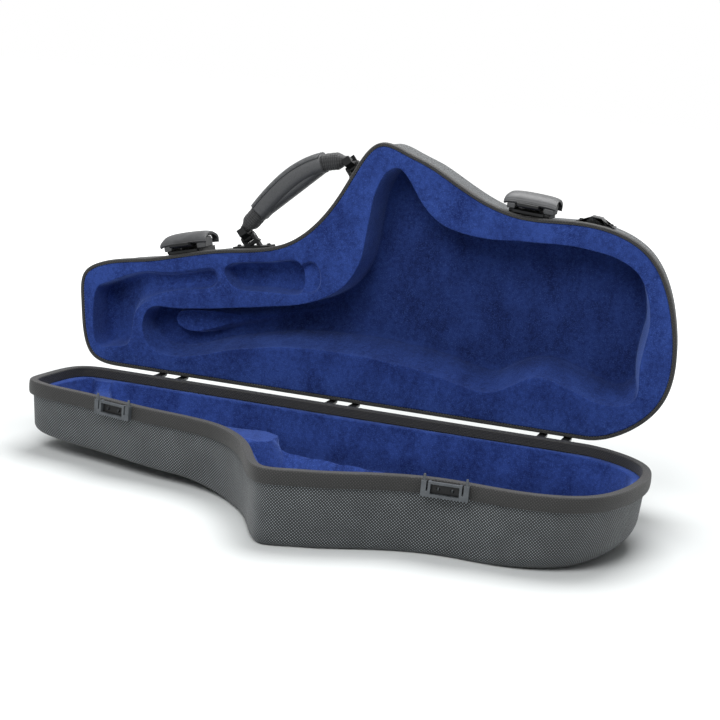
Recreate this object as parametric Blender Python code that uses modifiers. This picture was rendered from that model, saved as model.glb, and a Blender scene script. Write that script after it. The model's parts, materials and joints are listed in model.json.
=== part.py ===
"""Alto saxophone case, shaped to the instrument, standing open on its hinges.

The case lies on its base with the lid swung up behind it. X runs along the case from the neck
end to the bow end, -Y is the handle side and +Y the hinge side, +Z is up. The origin is on the
flat underside, below the middle of the outline. The lid is modelled closed and then turned up
about the hinge axis by one empty, so every piece on it follows. Lengths are in metres.
"""

import math

import bmesh
import bpy
import numpy as np
from mathutils import Matrix, Vector

# Overall sizes
LENGTH = 0.650
WIDTH = 0.275
BASE_HEIGHT = 0.075
LID_HEIGHT = 0.070
OPEN_ANGLE = math.radians(91)

# Clearances
CLEARANCE = 0.0003
SEAM_GAP = 0.0004
RUNNING_GAP = 0.0004
OVERRUN = 0.002

# Outline of the rim, as shares of LENGTH and WIDTH, from the left end of the straight rear
# edge round the neck end, the bell peak and the bow to the right end of that edge
OUTLINE_SHARES = (
    (0.085, 1.000), (0.027, 0.967), (0.003, 0.767), (0.007, 0.636), (0.064, 0.575),
    (0.127, 0.549), (0.241, 0.484), (0.357, 0.425), (0.427, 0.269), (0.463, 0.113),
    (0.501, 0.004), (0.549, 0.029), (0.589, 0.065), (0.663, 0.156), (0.747, 0.211),
    (0.841, 0.207), (0.943, 0.291), (0.994, 0.538), (0.997, 0.771), (0.960, 0.913),
    (0.875, 1.000),
)
OUTLINE_STEPS = 3
REAR_STEPS = 8
SEAT_STEPS = 12
FRONT_SHARE = 0.62

# Shells: moulded boards covered with woven cloth
BASE_WALL = 0.0032
LID_WALL = 0.0024
BASE_DRAFT = 0.0035
LID_DRAFT = 0.0010
EDGE_RADIUS = 0.008
NECK_END_RADIUS = 0.016
BOW_END_RADIUS = 0.034
NECK_END_SHARE = 0.10
BOW_START_SHARE = 0.78
EDGE_ANGLES = tuple(math.radians(angle) for angle in (0, 30, 60, 90))
NECK_RISE = 0.018
KNEE_RISE = 0.010
KNEE_SHARE = 0.308
HEEL_SHARE = 0.403

# Base rim: a band that caps the edge of the base board and stands a little proud of its wall
BAND_HEIGHT = 0.015
BAND_BULGE = 0.0012
BAND_THICKNESS = 0.0025
CAP_THICKNESS = 0.0025
INNER_SKIRT = 0.0018
INNER_SKIRT_HEIGHT = 0.0102

# Lid rim: a narrow binding over the edge of the lid board
BINDING_HEIGHT = 0.0095
BINDING_BULGE = 0.0006
BINDING_THICKNESS = 0.0016
BINDING_FACE = 0.0032
BINDING_LIP = 0.0015

# Linings: moulded foam under blue plush
LINING_FLOOR = 0.008
LINING_WALL = 0.005
BACK_STRIP = 0.003
LINING_LIP = 0.0012
BASE_MARGIN = 0.015
RECESS_DRAFT = 0.002
RECESS_ROLL = 0.002
RECESS_FOOT = 0.008
BOW_FOOT = 0.018
BOW_FOOT_SHARES = (0.80, 0.92)

# Body recess of the lid: outline as shares of LENGTH and WIDTH
BODY_SHARES = (
    (0.118, 0.840), (0.129, 0.749), (0.169, 0.735), (0.272, 0.702), (0.369, 0.662),
    (0.438, 0.604), (0.480, 0.491), (0.494, 0.309), (0.508, 0.138), (0.532, 0.087),
    (0.560, 0.145), (0.594, 0.247), (0.662, 0.305), (0.772, 0.298), (0.883, 0.313),
    (0.935, 0.385), (0.955, 0.545), (0.948, 0.709), (0.946, 0.829), (0.885, 0.855),
    (0.795, 0.796), (0.720, 0.876), (0.637, 0.851), (0.508, 0.818), (0.398, 0.818),
    (0.277, 0.869), (0.154, 0.924),
)
BODY_DEPTH = 0.054
BODY_NECK_DEPTH = 0.036
BODY_SLOPE_SHARES = (0.15, 0.46)

# Crook recess, deep at the neck end and shallow along its arm
CROOK_SHARES = (
    (0.028, 0.713), (0.043, 0.676), (0.108, 0.611), (0.165, 0.596), (0.223, 0.560),
    (0.243, 0.567), (0.249, 0.622), (0.182, 0.673), (0.129, 0.716), (0.102, 0.778),
    (0.094, 0.902), (0.062, 0.924), (0.037, 0.924),
)
CROOK_DEPTH = 0.040
CROOK_ARM_DEPTH = 0.016
CROOK_SLOPE_SHARES = (0.085, 0.16)

# Mouthpiece pocket and the shallow step beside it
MOUTHPIECE_SHARES = (
    (0.257, 0.553), (0.283, 0.520), (0.334, 0.502), (0.382, 0.487), (0.394, 0.545),
    (0.391, 0.607), (0.338, 0.618), (0.277, 0.618),
)
MOUTHPIECE_DEPTH = 0.026
STEP_SHARES = ((0.394, 0.491), (0.412, 0.487), (0.420, 0.582), (0.397, 0.600))
STEP_DEPTH = 0.008

# Base recess, with the block at the inner corner left standing
BASE_RECESS_SHARES = (
    (0.083, 0.945), (0.046, 0.924), (0.026, 0.771), (0.031, 0.665), (0.074, 0.625),
    (0.131, 0.604), (0.200, 0.593), (0.308, 0.582), (0.377, 0.575), (0.423, 0.585),
    (0.438, 0.549), (0.434, 0.473), (0.418, 0.444), (0.392, 0.440), (0.402, 0.396),
    (0.443, 0.305), (0.480, 0.153), (0.508, 0.080), (0.542, 0.087), (0.582, 0.120),
    (0.658, 0.211), (0.745, 0.265), (0.840, 0.262), (0.926, 0.335), (0.969, 0.545),
    (0.972, 0.764), (0.942, 0.873), (0.875, 0.945), (0.617, 0.945), (0.354, 0.945),
)

# Saddle that carries the bell, and the ridge across the neck end, both part of the base lining
SADDLE_SHARES = (0.415, 0.690)
SADDLE_CREST_SHARE = 0.545
SADDLE_FRONT_SHARE = 0.36
SADDLE_REAR_SHARE = 0.60
SADDLE_HEIGHT = 0.050
RIDGE_SHARES = ((0.075, 0.935), (0.150, 0.610))
RIDGE_THICKNESS = 0.009
RIDGE_HEIGHT = 0.056

# Hinges: three, on the rear edge, with the axis behind the rim and below its plane
HINGE_OFFSET = 0.0065
HINGE_DROP = 0.00575
HINGE_SHARES = (0.175, 0.478, 0.829)
HINGE_WIDTH = 0.034
BASE_KNUCKLE_LENGTH = 0.0156
BASE_KNUCKLE_RADIUS = 0.0032
LID_KNUCKLE_RADIUS = 0.0046
KNUCKLE_GAP = 0.0006
HINGE_PIN_RADIUS = 0.0013
HINGE_PIN_OVERHANG = 0.0006
LEAF_THICKNESS = 0.0020
ARM_THICKNESS = 0.0024
ARM_STAND_OFF = 0.0006
BASE_LEAF_LENGTH = 0.023
LID_LEAF_LENGTH = 0.025
RIVET_RADIUS = 0.0028
RIVET_HEIGHT = 0.0012
RIVET_TAPER_SHARE = 0.6
RIVET_ROOT = 0.0004
RIVET_SPACING = 0.020

# Latches on the lid and their catches on the base, at two places along the front
LATCH_SHARES = (0.180, 0.748)
LATCH_HALF_SPAN = 0.022
LATCH_PLATE_WIDTH = 0.042
LATCH_PLATE_TOP = 0.042
LATCH_PLATE_FOOT = 0.002
LATCH_PLATE_FACE = 0.0034
PEG_NOTCH_TOP = 0.008
LEVER_AXIS_OUT = 0.011
LEVER_AXIS_UP = 0.035
LEVER_PIN_RADIUS = 0.0013
LEVER_LENGTH = 0.054
LEVER_WALL = 0.0024
LEVER_KNUCKLE_RADIUS = 0.0068
LEVER_KNUCKLE_LENGTH = 0.032
LEVER_TOP = 0.0216
LEVER_LIP_UP = 0.004
LEVER_LIP_OUT = 0.0114
EAR_THICKNESS = 0.003
EAR_RADIUS = 0.0028
EAR_GAP = 0.0004
EAR_STEM_SHARE = 0.85
CLAW_AXIS_OUT = 0.013
CLAW_AXIS_UP = 0.022
CLAW_PIN_RADIUS = 0.0011
CLAW_BARREL_RADIUS = 0.0027
CLAW_WIDTH = 0.022
CLAW_THICKNESS = 0.0018
CLAW_RIB = 0.0024
CLAW_CLEARANCE = 0.0016
CLAW_SWING = math.radians(5)
CLAW_HOOK_DEPTH = 0.0022

# Lever hood: points of its outer curve as shares of the rise from the lip to the top and of the
# run from the lip to the lever axis, and how the hood's height falls off towards its ends
HOOD_SHARES = (
    (0.00, 0.00), (0.02, 0.22), (0.11, 0.57), (0.29, 0.87), (0.52, 1.00),
    (0.74, 0.96), (0.93, 0.76),
)
HOOD_END_SHARES = (
    (-1.00, 0.70), (-0.88, 0.86), (-0.60, 0.96), (0.00, 1.00), (0.60, 0.98), (0.88, 0.93),
    (1.00, 0.87),
)
HOOD_HEEL_ANGLES = tuple(math.radians(angle) for angle in (20, 60, 100, 130))

# Catches
CATCH_WIDTH = 0.044
CATCH_HEIGHT = 0.0152
CATCH_DEPTH = 0.0052
CATCH_POST = 0.0048
CATCH_SLOT = 0.0015
CATCH_BAR = 0.0024
CATCH_SILL = 0.0026
PEG_RADIUS = 0.0023
PEG_TIP_RADIUS = 0.0011
PEG_HEIGHT = 0.0062
CATCH_TOP_DROP = 0.0006
INSERT_THICKNESS = 0.0014
CATCH_RIVET_SPACING = 0.013

# Handle: brackets on the lid wall, swivel links, a webbing core and a padded grip
HANDLE_FOOT_SHARES = (0.278, 0.459)
HANDLE_LEVEL = 0.032
HANDLE_STAND_OFF = 0.0095
HANDLE_RISE = 0.026
BRACKET_LENGTH = 0.042
BRACKET_WIDTH = 0.018
BRACKET_FACE = 0.0010
LUG_THICKNESS = 0.0032
LUG_RADIUS = 0.0042
LUG_STEM_SHARE = 0.92
LINK_LENGTH = 0.0090
LINK_RADIUS = 0.0042
LINK_PIN_RADIUS = 0.0014
LINK_BAR_RISE = 0.0104
LINK_BAR_SHIFT = 0.003
LINK_BAR_RADIUS = 0.0020
LINK_SPAN = 0.021
LINK_CHEEK = 0.0021
LINK_NECK_SHARE = 0.95
BRACKET_SCREW_SPACING = 0.034
SCREW_RADIUS = 0.0026
SCREW_HEIGHT = 0.0012
HANDLE_CENTRE_SHARES = (
    (0.14, 0.56), (0.28, 0.75), (0.44, 0.92), (0.60, 1.00), (0.75, 0.93), (0.88, 0.69),
)
GRIP_SPAN_SHARES = (0.16, 0.84)
GRIP_HALF_HEIGHT = 0.0115
GRIP_HALF_WIDTH = 0.0150
WEBBING_HALF_HEIGHT = 0.0078
WEBBING_HALF_WIDTH = 0.0108
EYE_HALF_HEIGHT = 0.0046
EYE_HALF_WIDTH = 0.0076
HANDLE_SECTION_POINTS = 14
HANDLE_SECTIONS = 17

# Strap loop on the lid wall beside the right latch
STRAP_SHARE = 0.846
STRAP_LEVEL = 0.036
STRAP_LENGTH = 0.040
STRAP_FOOT = 0.009
STRAP_WIDTH = 0.016
STRAP_THICKNESS = 0.0016
STRAP_RISE = 0.0058

# Insets of recesses: the share of a corner's radius they may take, and how they ease off
FOLD_SHARE = 0.6
FOLD_LIMIT = 0.001
FOLD_SMOOTHING = 3

# How far a corner may stand off its face before the face is split
FLATNESS = 0.000001

ROUND_SEGMENTS = 16

CASE = bpy.data.collections.new("alto_saxophone_case")
CUTTERS = bpy.data.collections.new("cutters")


def clear_scene():
    """Removes every object of the scene and links the two collections."""
    for item in list(bpy.data.objects):
        bpy.data.objects.remove(item, do_unlink=True)
    bpy.context.scene.collection.children.link(CASE)
    bpy.context.scene.collection.children.link(CUTTERS)


# Materials: base colour, roughness and metallic value of each finish

CLOTH = ((0.075, 0.078, 0.082), 0.85, 0.0)
BAND = ((0.030, 0.031, 0.032), 0.60, 0.0)
PLUSH = ((0.025, 0.060, 0.260), 0.95, 0.0)
GREY_PLASTIC = ((0.130, 0.135, 0.140), 0.40, 0.0)
BLACK_PLASTIC = ((0.018, 0.018, 0.020), 0.45, 0.0)
BLACK_STEEL = ((0.022, 0.022, 0.024), 0.40, 0.6)
BRIGHT_STEEL = ((0.450, 0.450, 0.460), 0.30, 1.0)
LEATHER = ((0.050, 0.051, 0.053), 0.55, 0.0)
WEBBING = ((0.020, 0.020, 0.021), 0.90, 0.0)


def principled(name, finish):
    """A piece's own Principled material in one finish."""
    colour, roughness, metallic = finish
    material = bpy.data.materials.new(name)
    material.use_nodes = True
    shader = material.node_tree.nodes["Principled BSDF"]
    shader.inputs["Base Color"].default_value = (*colour, 1.0)
    shader.inputs["Roughness"].default_value = roughness
    shader.inputs["Metallic"].default_value = metallic
    return material


# Meshes and modifiers

def new_object(name, mesh_data, material=None, cutter=False):
    """Links a mesh object under its name, as a part or as a cutter."""
    item = bpy.data.objects.new(name, mesh_data)
    if cutter:
        item.hide_render = True
        item.display_type = "WIRE"
        CUTTERS.objects.link(item)
    else:
        mesh_data.materials.append(principled(name, material))
        CASE.objects.link(item)
    return item


def finish_mesh(name, mesh):
    """Turns a bmesh into a mesh with outward, flat faces, and frees it."""
    bmesh.ops.recalc_face_normals(mesh, faces=mesh.faces)
    bent = [face for face in mesh.faces
            if any(abs((vert.co - face.verts[0].co).dot(face.normal)) > FLATNESS for vert in face.verts)]
    bmesh.ops.triangulate(mesh, faces=bent)
    data = bpy.data.meshes.new(name)
    mesh.to_mesh(data)
    mesh.free()
    return data


def boolean(item, tool, operation="DIFFERENCE"):
    """Adds an exact Boolean of item with tool."""
    modifier = item.modifiers.new(f"{operation.lower()} {tool.name}", "BOOLEAN")
    modifier.operation = operation
    modifier.solver = "EXACT"
    modifier.object = tool


def spline(points, steps, start=None, end=None):
    """A smooth curve through the points: closed, or open with given end directions.

    The knots are spaced by the square root of the chord, which keeps tight corners round.
    """
    points = np.asarray(points, float)
    closed = start is None
    count = len(points)
    nexts = np.roll(points, -1, axis=0)
    spacing = np.sqrt(np.linalg.norm(nexts - points, axis=1))
    system = np.zeros((count, count))
    values = np.zeros_like(points)
    for index in range(count):
        before, after = spacing[index - 1], spacing[index]
        follower = (index + 1) % count
        system[index, index - 1] += after
        system[index, index] += 2 * (before + after)
        system[index, follower] += before
        values[index] = 3 * (after / before * (points[index] - points[index - 1])
                             + before / after * (points[follower] - points[index]))
    if not closed:
        for index, direction in ((0, start), (count - 1, end)):
            system[index] = 0
            system[index, index] = 1
            values[index] = np.asarray(direction, float) * spacing[min(index, count - 2)]
    slopes = np.linalg.solve(system, values)
    curve = []
    for index in range(count if closed else count - 1):
        follower = (index + 1) % count
        run = spacing[index]
        for step in range(steps):
            t = step / steps
            curve.append((2 * t**3 - 3 * t**2 + 1) * points[index]
                         + (t**3 - 2 * t**2 + t) * run * slopes[index]
                         + (3 * t**2 - 2 * t**3) * points[follower]
                         + (t**3 - t**2) * run * slopes[follower])
    if not closed:
        curve.append(points[-1])
    return np.array(curve)


def plan(shares):
    """Shares of LENGTH and WIDTH as plan points about the middle of the outline."""
    shares = np.asarray(shares, float)
    return (shares - 0.5) * np.array([LENGTH, WIDTH])


def case_outline(steps=OUTLINE_STEPS):
    """The rim's outline, counterclockwise from above: a spline closed by the straight rear edge."""
    leftwards = (-1.0, 0.0)
    curve = spline(plan(OUTLINE_SHARES), steps, leftwards, leftwards)
    shares = np.linspace(0, 1, REAR_STEPS + 1)[1:-1, None]
    rear = curve[-1] + (curve[0] - curve[-1]) * shares
    return np.concatenate([curve, rear])


def outward_normals(ring):
    """Unit normals of a counterclockwise plan ring, pointing out of it."""
    along = np.roll(ring, -1, axis=0) - np.roll(ring, 1, axis=0)
    along /= np.linalg.norm(along, axis=1)[:, None]
    return np.column_stack([along[:, 1], -along[:, 0]])


OUTLINE = case_outline()
NORMALS = outward_normals(OUTLINE)


def inset_ring(ring, amount):
    """Moves a ring in by amount, or out if it is negative, and less where a corner would fold."""
    before, after = np.roll(ring, 1, axis=0) - ring, np.roll(ring, -1, axis=0) - ring
    turn = before[:, 1] * after[:, 0] - before[:, 0] * after[:, 1]
    chord = np.linalg.norm(after - before, axis=1)
    sides = np.linalg.norm(before, axis=1) * np.linalg.norm(after, axis=1)
    radius = sides * chord / (2 * np.maximum(np.abs(turn), sides * FOLD_LIMIT))
    size = np.abs(amount) + 0 * radius
    limit = np.where(turn * amount > 0, radius * FOLD_SHARE, size)
    moved = np.minimum(size, limit)
    for _ in range(FOLD_SMOOTHING):
        spread = (np.roll(moved, 1) + np.roll(moved, -1) + 2 * moved) / 4
        moved = np.minimum(spread, limit)
    return ring - outward_normals(ring) * (np.sign(amount) * moved)[:, None]


def level_ring(ring, offset, height):
    """A plan ring moved out by offset (a number or one for each point), at a height."""
    moved = ring + outward_normals(ring) * np.reshape(offset, (-1, 1))
    return np.column_stack([moved, np.broadcast_to(height, len(ring))])


def skin(rings, cap_first=False, cap_last=False):
    """A bmesh surface through rings of equal length, with optional end faces."""
    mesh = bmesh.new()
    rows = [[mesh.verts.new(point) for point in ring] for ring in rings]
    for upper, lower in zip(rows, rows[1:]):
        for index in range(len(upper)):
            follower = (index + 1) % len(upper)
            mesh.faces.new((upper[index], lower[index], lower[follower], upper[follower]))
    if cap_first:
        mesh.faces.new(rows[0])
    if cap_last:
        mesh.faces.new(rows[-1][::-1])
    return mesh


def swept_ring(name, profile, material):
    """A closed profile of (offset, height) points carried round the outline."""
    rings = [level_ring(OUTLINE, offset, height) for offset, height in profile]
    mesh = skin(rings + rings[:1])
    bmesh.ops.remove_doubles(mesh, verts=mesh.verts, dist=CLEARANCE / 10)
    return new_object(name, finish_mesh(name, mesh), material)


def block(name, low, high, material=None, cutter=False):
    """A box between two corners."""
    mesh = bmesh.new()
    bmesh.ops.create_cube(mesh, size=1.0)
    low, high = Vector(low), Vector(high)
    for vert in mesh.verts:
        for axis in range(3):
            vert.co[axis] = low[axis] if vert.co[axis] < 0 else high[axis]
    return new_object(name, finish_mesh(name, mesh), material, cutter)


def prism(name, outline, start, end, material=None, cutter=False):
    """A flat (y, z) outline pushed along X from start to end."""
    rings = [[(x, y, z) for y, z in outline] for x in (start, end)]
    return new_object(name, finish_mesh(name, skin(rings, True, True)), material, cutter)


def rod(name, radius, start, end, material=None, cutter=False, tip=None, segments=ROUND_SEGMENTS):
    """A round bar, or a cone when tip gives the end radius, from start to end."""
    start, end = Vector(start), Vector(end)
    length = (end - start).length
    mesh = bmesh.new()
    bmesh.ops.create_cone(mesh, cap_ends=True, segments=segments, radius1=radius,
                          radius2=radius if tip is None else tip, depth=length)
    turn = (end - start).to_track_quat("Z", "Y").to_matrix().to_4x4()
    bmesh.ops.transform(mesh, matrix=Matrix.Translation((start + end) / 2) @ turn, verts=mesh.verts)
    item = new_object(name, finish_mesh(name, mesh), material, cutter)
    item.data.shade_smooth()
    item.data.set_sharp_from_angle(angle=math.radians(40))
    return item


def rivet(name, foot, direction, radius, height, material=None, cutter=False):
    """A low conical rivet head standing on foot, sunk by a little into what carries it."""
    direction = Vector(direction).normalized()
    root = Vector(foot) - direction * RIVET_ROOT
    return rod(name, radius, root, Vector(foot) + direction * height, material, cutter,
               tip=radius * RIVET_TAPER_SHARE)


def union(item, tools, seat):
    """Joins tools, built in the same frame as item, onto it."""
    for tool in tools:
        tool.matrix_world = seat
        boolean(item, tool, "UNION")


def cut(item, tools, seat):
    """Cuts tools, built in the same frame as item, out of it."""
    for tool in tools:
        tool.matrix_world = seat
        boolean(item, tool, "DIFFERENCE")


# Frames: the lid, and the seats of the fittings on the outline

LID_BASE = BASE_HEIGHT + SEAM_GAP
HINGE_Y = WIDTH / 2 + HINGE_OFFSET
HINGE_Z = BASE_HEIGHT - HINGE_DROP
FRAMES = {}


def add_frame(name, matrix, parent=None):
    """An empty that carries moving pieces, placed on their joint's axis."""
    empty = bpy.data.objects.new(name, None)
    empty.matrix_world = matrix
    CASE.objects.link(empty)
    FRAMES[name] = matrix
    if parent:
        carry(empty, parent)
    return empty


def carry(item, frame_name):
    """Parents a piece to a frame and leaves it where it is."""
    item.parent = bpy.data.objects[frame_name]
    item.matrix_parent_inverse = FRAMES[frame_name].inverted()
    for modifier in item.modifiers:
        if modifier.type == "BOOLEAN" and modifier.object.parent is None:
            carry(modifier.object, frame_name)


class Seat:
    """A place on the rim's outline where a fitting is mounted.

    Its frame has X along the rim, Y into the case and Z up from the rim plane, and stands off the
    outline as far as the rim reaches over half_span to either side.
    """

    def __init__(self, share, half_span):
        shares = np.linspace(0, 1, SEAT_STEPS, endpoint=False)[:, None, None]
        nexts = np.roll(OUTLINE, -1, axis=0) - OUTLINE
        turns = np.roll(NORMALS, -1, axis=0) - NORMALS
        fine = (OUTLINE + nexts * shares).reshape(-1, 2)
        normals = (NORMALS + turns * shares).reshape(-1, 2)
        target = (share - 0.5) * LENGTH
        front = np.flatnonzero(fine[:, 1] < (FRONT_SHARE - 0.5) * WIDTH)
        index = front[np.abs(fine[front, 0] - target).argmin()]
        self.foot = fine[index]
        self.normal = normals[index] / np.linalg.norm(normals[index])
        self.along = np.array([-self.normal[1], self.normal[0]])
        offsets = fine - self.foot
        near = np.abs(offsets @ self.along) <= half_span
        near &= np.abs(offsets @ self.normal) <= half_span
        self.stand_off = max(0.0, float((offsets[near] @ self.normal).max()))
        order = np.argsort(offsets[near] @ self.along)
        self.places = (offsets[near] @ self.along)[order]
        self.reaches = (offsets[near] @ self.normal)[order]

    def fall(self, place):
        """How far the outline lies inside the seat's plane at a place along it."""
        return self.stand_off - float(np.interp(place, self.places, self.reaches))

    def matrix(self, height):
        """The seat's frame, with its origin at a height above the ground."""
        origin = self.foot + self.normal * self.stand_off
        angle = math.atan2(self.along[1], self.along[0])
        return Matrix.Translation((*origin, height)) @ Matrix.Rotation(angle, 4, "Z")


# Shells

def edge_radius(ring):
    """Radius of the outer bottom edge: small along the sides, larger round both ends."""
    share = ring[:, 0] / LENGTH + 0.5
    neck = np.clip((NECK_END_SHARE - share) / NECK_END_SHARE, 0, 1)
    bow = np.clip((share - BOW_START_SHARE) / (1 - BOW_START_SHARE), 0, 1)
    bow = bow * bow * (3 - 2 * bow)
    return EDGE_RADIUS + (NECK_END_RADIUS - EDGE_RADIUS) * neck + (BOW_END_RADIUS - EDGE_RADIUS) * bow


def bowl_rings(face, depth, draft, sink):
    """Rings of a drafted wall with a rounded bottom edge, from the open side down.

    face is the inset of the wall from the outline, depth the height of the bowl, and sink how far
    this surface lies inside the outer one. Heights are measured down from the open side.
    """
    radius = np.maximum(edge_radius(OUTLINE) - sink, CLEARANCE)
    rings = []
    for angle in EDGE_ANGLES:
        inset = face + sink + draft + radius * (1 - math.cos(angle))
        fall = depth - sink - radius * (1 - math.sin(angle))
        rings.append((inset, fall))
    return rings


def neck_rise(x):
    """Rise of the underside towards the neck end."""
    share = np.asarray(x) / LENGTH + 0.5
    return np.interp(share, (0, KNEE_SHARE, HEEL_SHARE), (NECK_RISE, KNEE_RISE, 0))


def raise_neck(mesh, floor, top):
    """Lifts the neck half of a bowl's floor, fading out towards its open top."""
    for share in (KNEE_SHARE, HEEL_SHARE):
        bmesh.ops.bisect_plane(mesh, geom=mesh.verts[:] + mesh.edges[:] + mesh.faces[:],
                               dist=CLEARANCE / 10, plane_co=((share - 0.5) * LENGTH, 0, 0),
                               plane_no=(1, 0, 0))
    for vert in mesh.verts:
        fade = min(1.0, max(0.0, (top - vert.co.z) / (top - floor)))
        vert.co.z += float(neck_rise(vert.co.x)) * fade


def solidify(item, thickness):
    """Gives an open surface a wall on its inner side."""
    modifier = item.modifiers.new("wall", "SOLIDIFY")
    modifier.thickness = thickness
    modifier.offset = -1
    modifier.use_even_offset = True


BASE_FACE = BAND_THICKNESS + CLEARANCE
LID_FACE = BINDING_THICKNESS + CLEARANCE
BASE_SHELL_TOP = BASE_HEIGHT - CAP_THICKNESS - CLEARANCE
LID_SHELL_TOP = LID_BASE + BINDING_LIP + CLEARANCE


def base_shell():
    """The lower board: a drafted wall and a flat underside that rises under the neck."""
    rings = [level_ring(OUTLINE, -BASE_FACE, BASE_SHELL_TOP),
             level_ring(OUTLINE, -BASE_FACE, BASE_HEIGHT - BAND_HEIGHT)]
    rings += [level_ring(OUTLINE, -inset, BASE_HEIGHT - fall)
              for inset, fall in bowl_rings(BASE_FACE, BASE_HEIGHT, BASE_DRAFT, 0)]
    mesh = skin(rings, cap_last=True)
    raise_neck(mesh, 0, BASE_SHELL_TOP)
    data = bpy.data.meshes.new("base_shell")
    mesh.to_mesh(data)
    mesh.free()
    item = new_object("base_shell", data, CLOTH)
    solidify(item, BASE_WALL)
    return item


def lid_shell():
    """The upper board, modelled closed, with a flat back."""
    rings = [level_ring(OUTLINE, -inset, LID_BASE + fall)
             for inset, fall in reversed(bowl_rings(LID_FACE, LID_HEIGHT, LID_DRAFT, 0))]
    rings.append(level_ring(OUTLINE, -LID_FACE, LID_SHELL_TOP))
    mesh = skin(rings, cap_first=True)
    data = bpy.data.meshes.new("lid_shell")
    mesh.to_mesh(data)
    mesh.free()
    item = new_object("lid_shell", data, CLOTH)
    solidify(item, LID_WALL)
    carry(item, "lid_frame")
    return item


def base_rim():
    """The band: a bulged outer skirt, a flat top over the board's edge and an inner skirt."""
    top = BASE_HEIGHT
    inner = BASE_FACE + BASE_WALL + CLEARANCE
    profile = (
        (0, top), (BAND_BULGE * 0.8, top - BAND_HEIGHT * 0.15), (BAND_BULGE, top - BAND_HEIGHT * 0.55),
        (BAND_BULGE * 0.6, top - BAND_HEIGHT * 0.88), (-BAND_THICKNESS * 0.25, top - BAND_HEIGHT),
        (-BAND_THICKNESS, top - BAND_HEIGHT), (-BAND_THICKNESS, top - CAP_THICKNESS),
        (-inner, top - CAP_THICKNESS), (-inner, top - INNER_SKIRT_HEIGHT),
        (-inner - INNER_SKIRT, top - INNER_SKIRT_HEIGHT), (-inner - INNER_SKIRT, top - INNER_SKIRT / 2),
        (-inner - INNER_SKIRT / 2, top),
    )
    return swept_ring("base_rim", profile, BAND)


def lid_rim():
    """The binding: an outer skirt on the lid board and a narrow lip over its edge."""
    foot = LID_BASE
    profile = (
        (-BINDING_BULGE / 2, foot), (-BINDING_FACE, foot), (-BINDING_FACE, foot + BINDING_LIP),
        (-BINDING_THICKNESS, foot + BINDING_LIP), (-BINDING_THICKNESS, foot + BINDING_HEIGHT),
        (0, foot + BINDING_HEIGHT), (BINDING_BULGE, foot + BINDING_HEIGHT / 2),
        (BINDING_BULGE / 2, foot + BINDING_LIP),
    )
    item = swept_ring("lid_rim", profile, BAND)
    carry(item, "lid_frame")
    return item


def lid_wall(level):
    """Inset of the lid's outer wall from the outline, at a height above the lid's edge."""
    return LID_FACE + LID_DRAFT * level / (LID_HEIGHT - EDGE_RADIUS)


# Linings

def recess_cutter(name, shares, steps, mouth, floor_of, upwards, wall=0.0, bow_foot=RECESS_FOOT):
    """A recess: a rolled mouth, drafted sides and a rounded foot.

    mouth is the height of the lining's face, floor_of gives the depth below it at each point of
    the outline, and upwards says that the recess runs up from its mouth. wall grows it all round,
    and bow_foot is twice the width of its rounded foot at the bow end.
    """
    ring = spline(plan(shares), steps)
    if np.cross(ring, np.roll(ring, -1, axis=0)).sum() < 0:
        ring = ring[::-1]
    depth = floor_of(ring)
    foot = slope(ring, BOW_FOOT_SHARES, RECESS_FOOT, bow_foot)
    sign = 1 if upwards else -1
    levels = (
        (-RECESS_ROLL, -OVERRUN + 0 * depth), (-RECESS_ROLL, 0 * depth), (0, RECESS_ROLL + 0 * depth),
        (RECESS_DRAFT, depth - foot / 2), (RECESS_DRAFT + foot / 8, depth - foot / 8),
        (RECESS_DRAFT + foot / 2, depth),
    )
    grown = inset_ring(ring, -wall) if wall else ring
    deeper = np.where([np.max(fall) > RECESS_ROLL for _, fall in levels], wall, 0)
    rings = [np.column_stack([inset_ring(grown, inset), mouth + sign * (fall + more)])
             for (inset, fall), more in zip(levels, deeper)]
    mesh = skin(rings, True, True)
    return new_object(name, finish_mesh(name, mesh), cutter=True)


def slope(ring, shares, start, end):
    """A depth that eases from start to end between two places along the case."""
    share = np.clip((ring[:, 0] / LENGTH + 0.5 - shares[0]) / (shares[1] - shares[0]), 0, 1)
    return start + (end - start) * share * share * (3 - 2 * share)


LINING_SINK_BASE = BASE_WALL + RUNNING_GAP
LINING_SINK_LID = LID_WALL + RUNNING_GAP
BASE_LINING_TOP = BASE_HEIGHT - INNER_SKIRT_HEIGHT - RUNNING_GAP
LID_LINING_FACE = LID_BASE + CLEARANCE


def lid_recesses(wall):
    """The three recesses of the lid's lining, grown by wall."""
    suffix = "_wall" if wall else ""
    forms = (
        ("body_recess", BODY_SHARES, 2, BODY_SLOPE_SHARES, BODY_NECK_DEPTH, BODY_DEPTH),
        ("crook_recess", CROOK_SHARES, 2, CROOK_SLOPE_SHARES, CROOK_DEPTH, CROOK_ARM_DEPTH),
        ("mouthpiece_pocket", MOUTHPIECE_SHARES, 3, CROOK_SLOPE_SHARES, MOUTHPIECE_DEPTH, MOUTHPIECE_DEPTH),
    )
    return [recess_cutter(name + suffix, shares, steps, LID_LINING_FACE,
                          lambda ring: slope(ring, ends, start, end), True, wall)
            for name, shares, steps, ends, start, end in forms]


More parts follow.
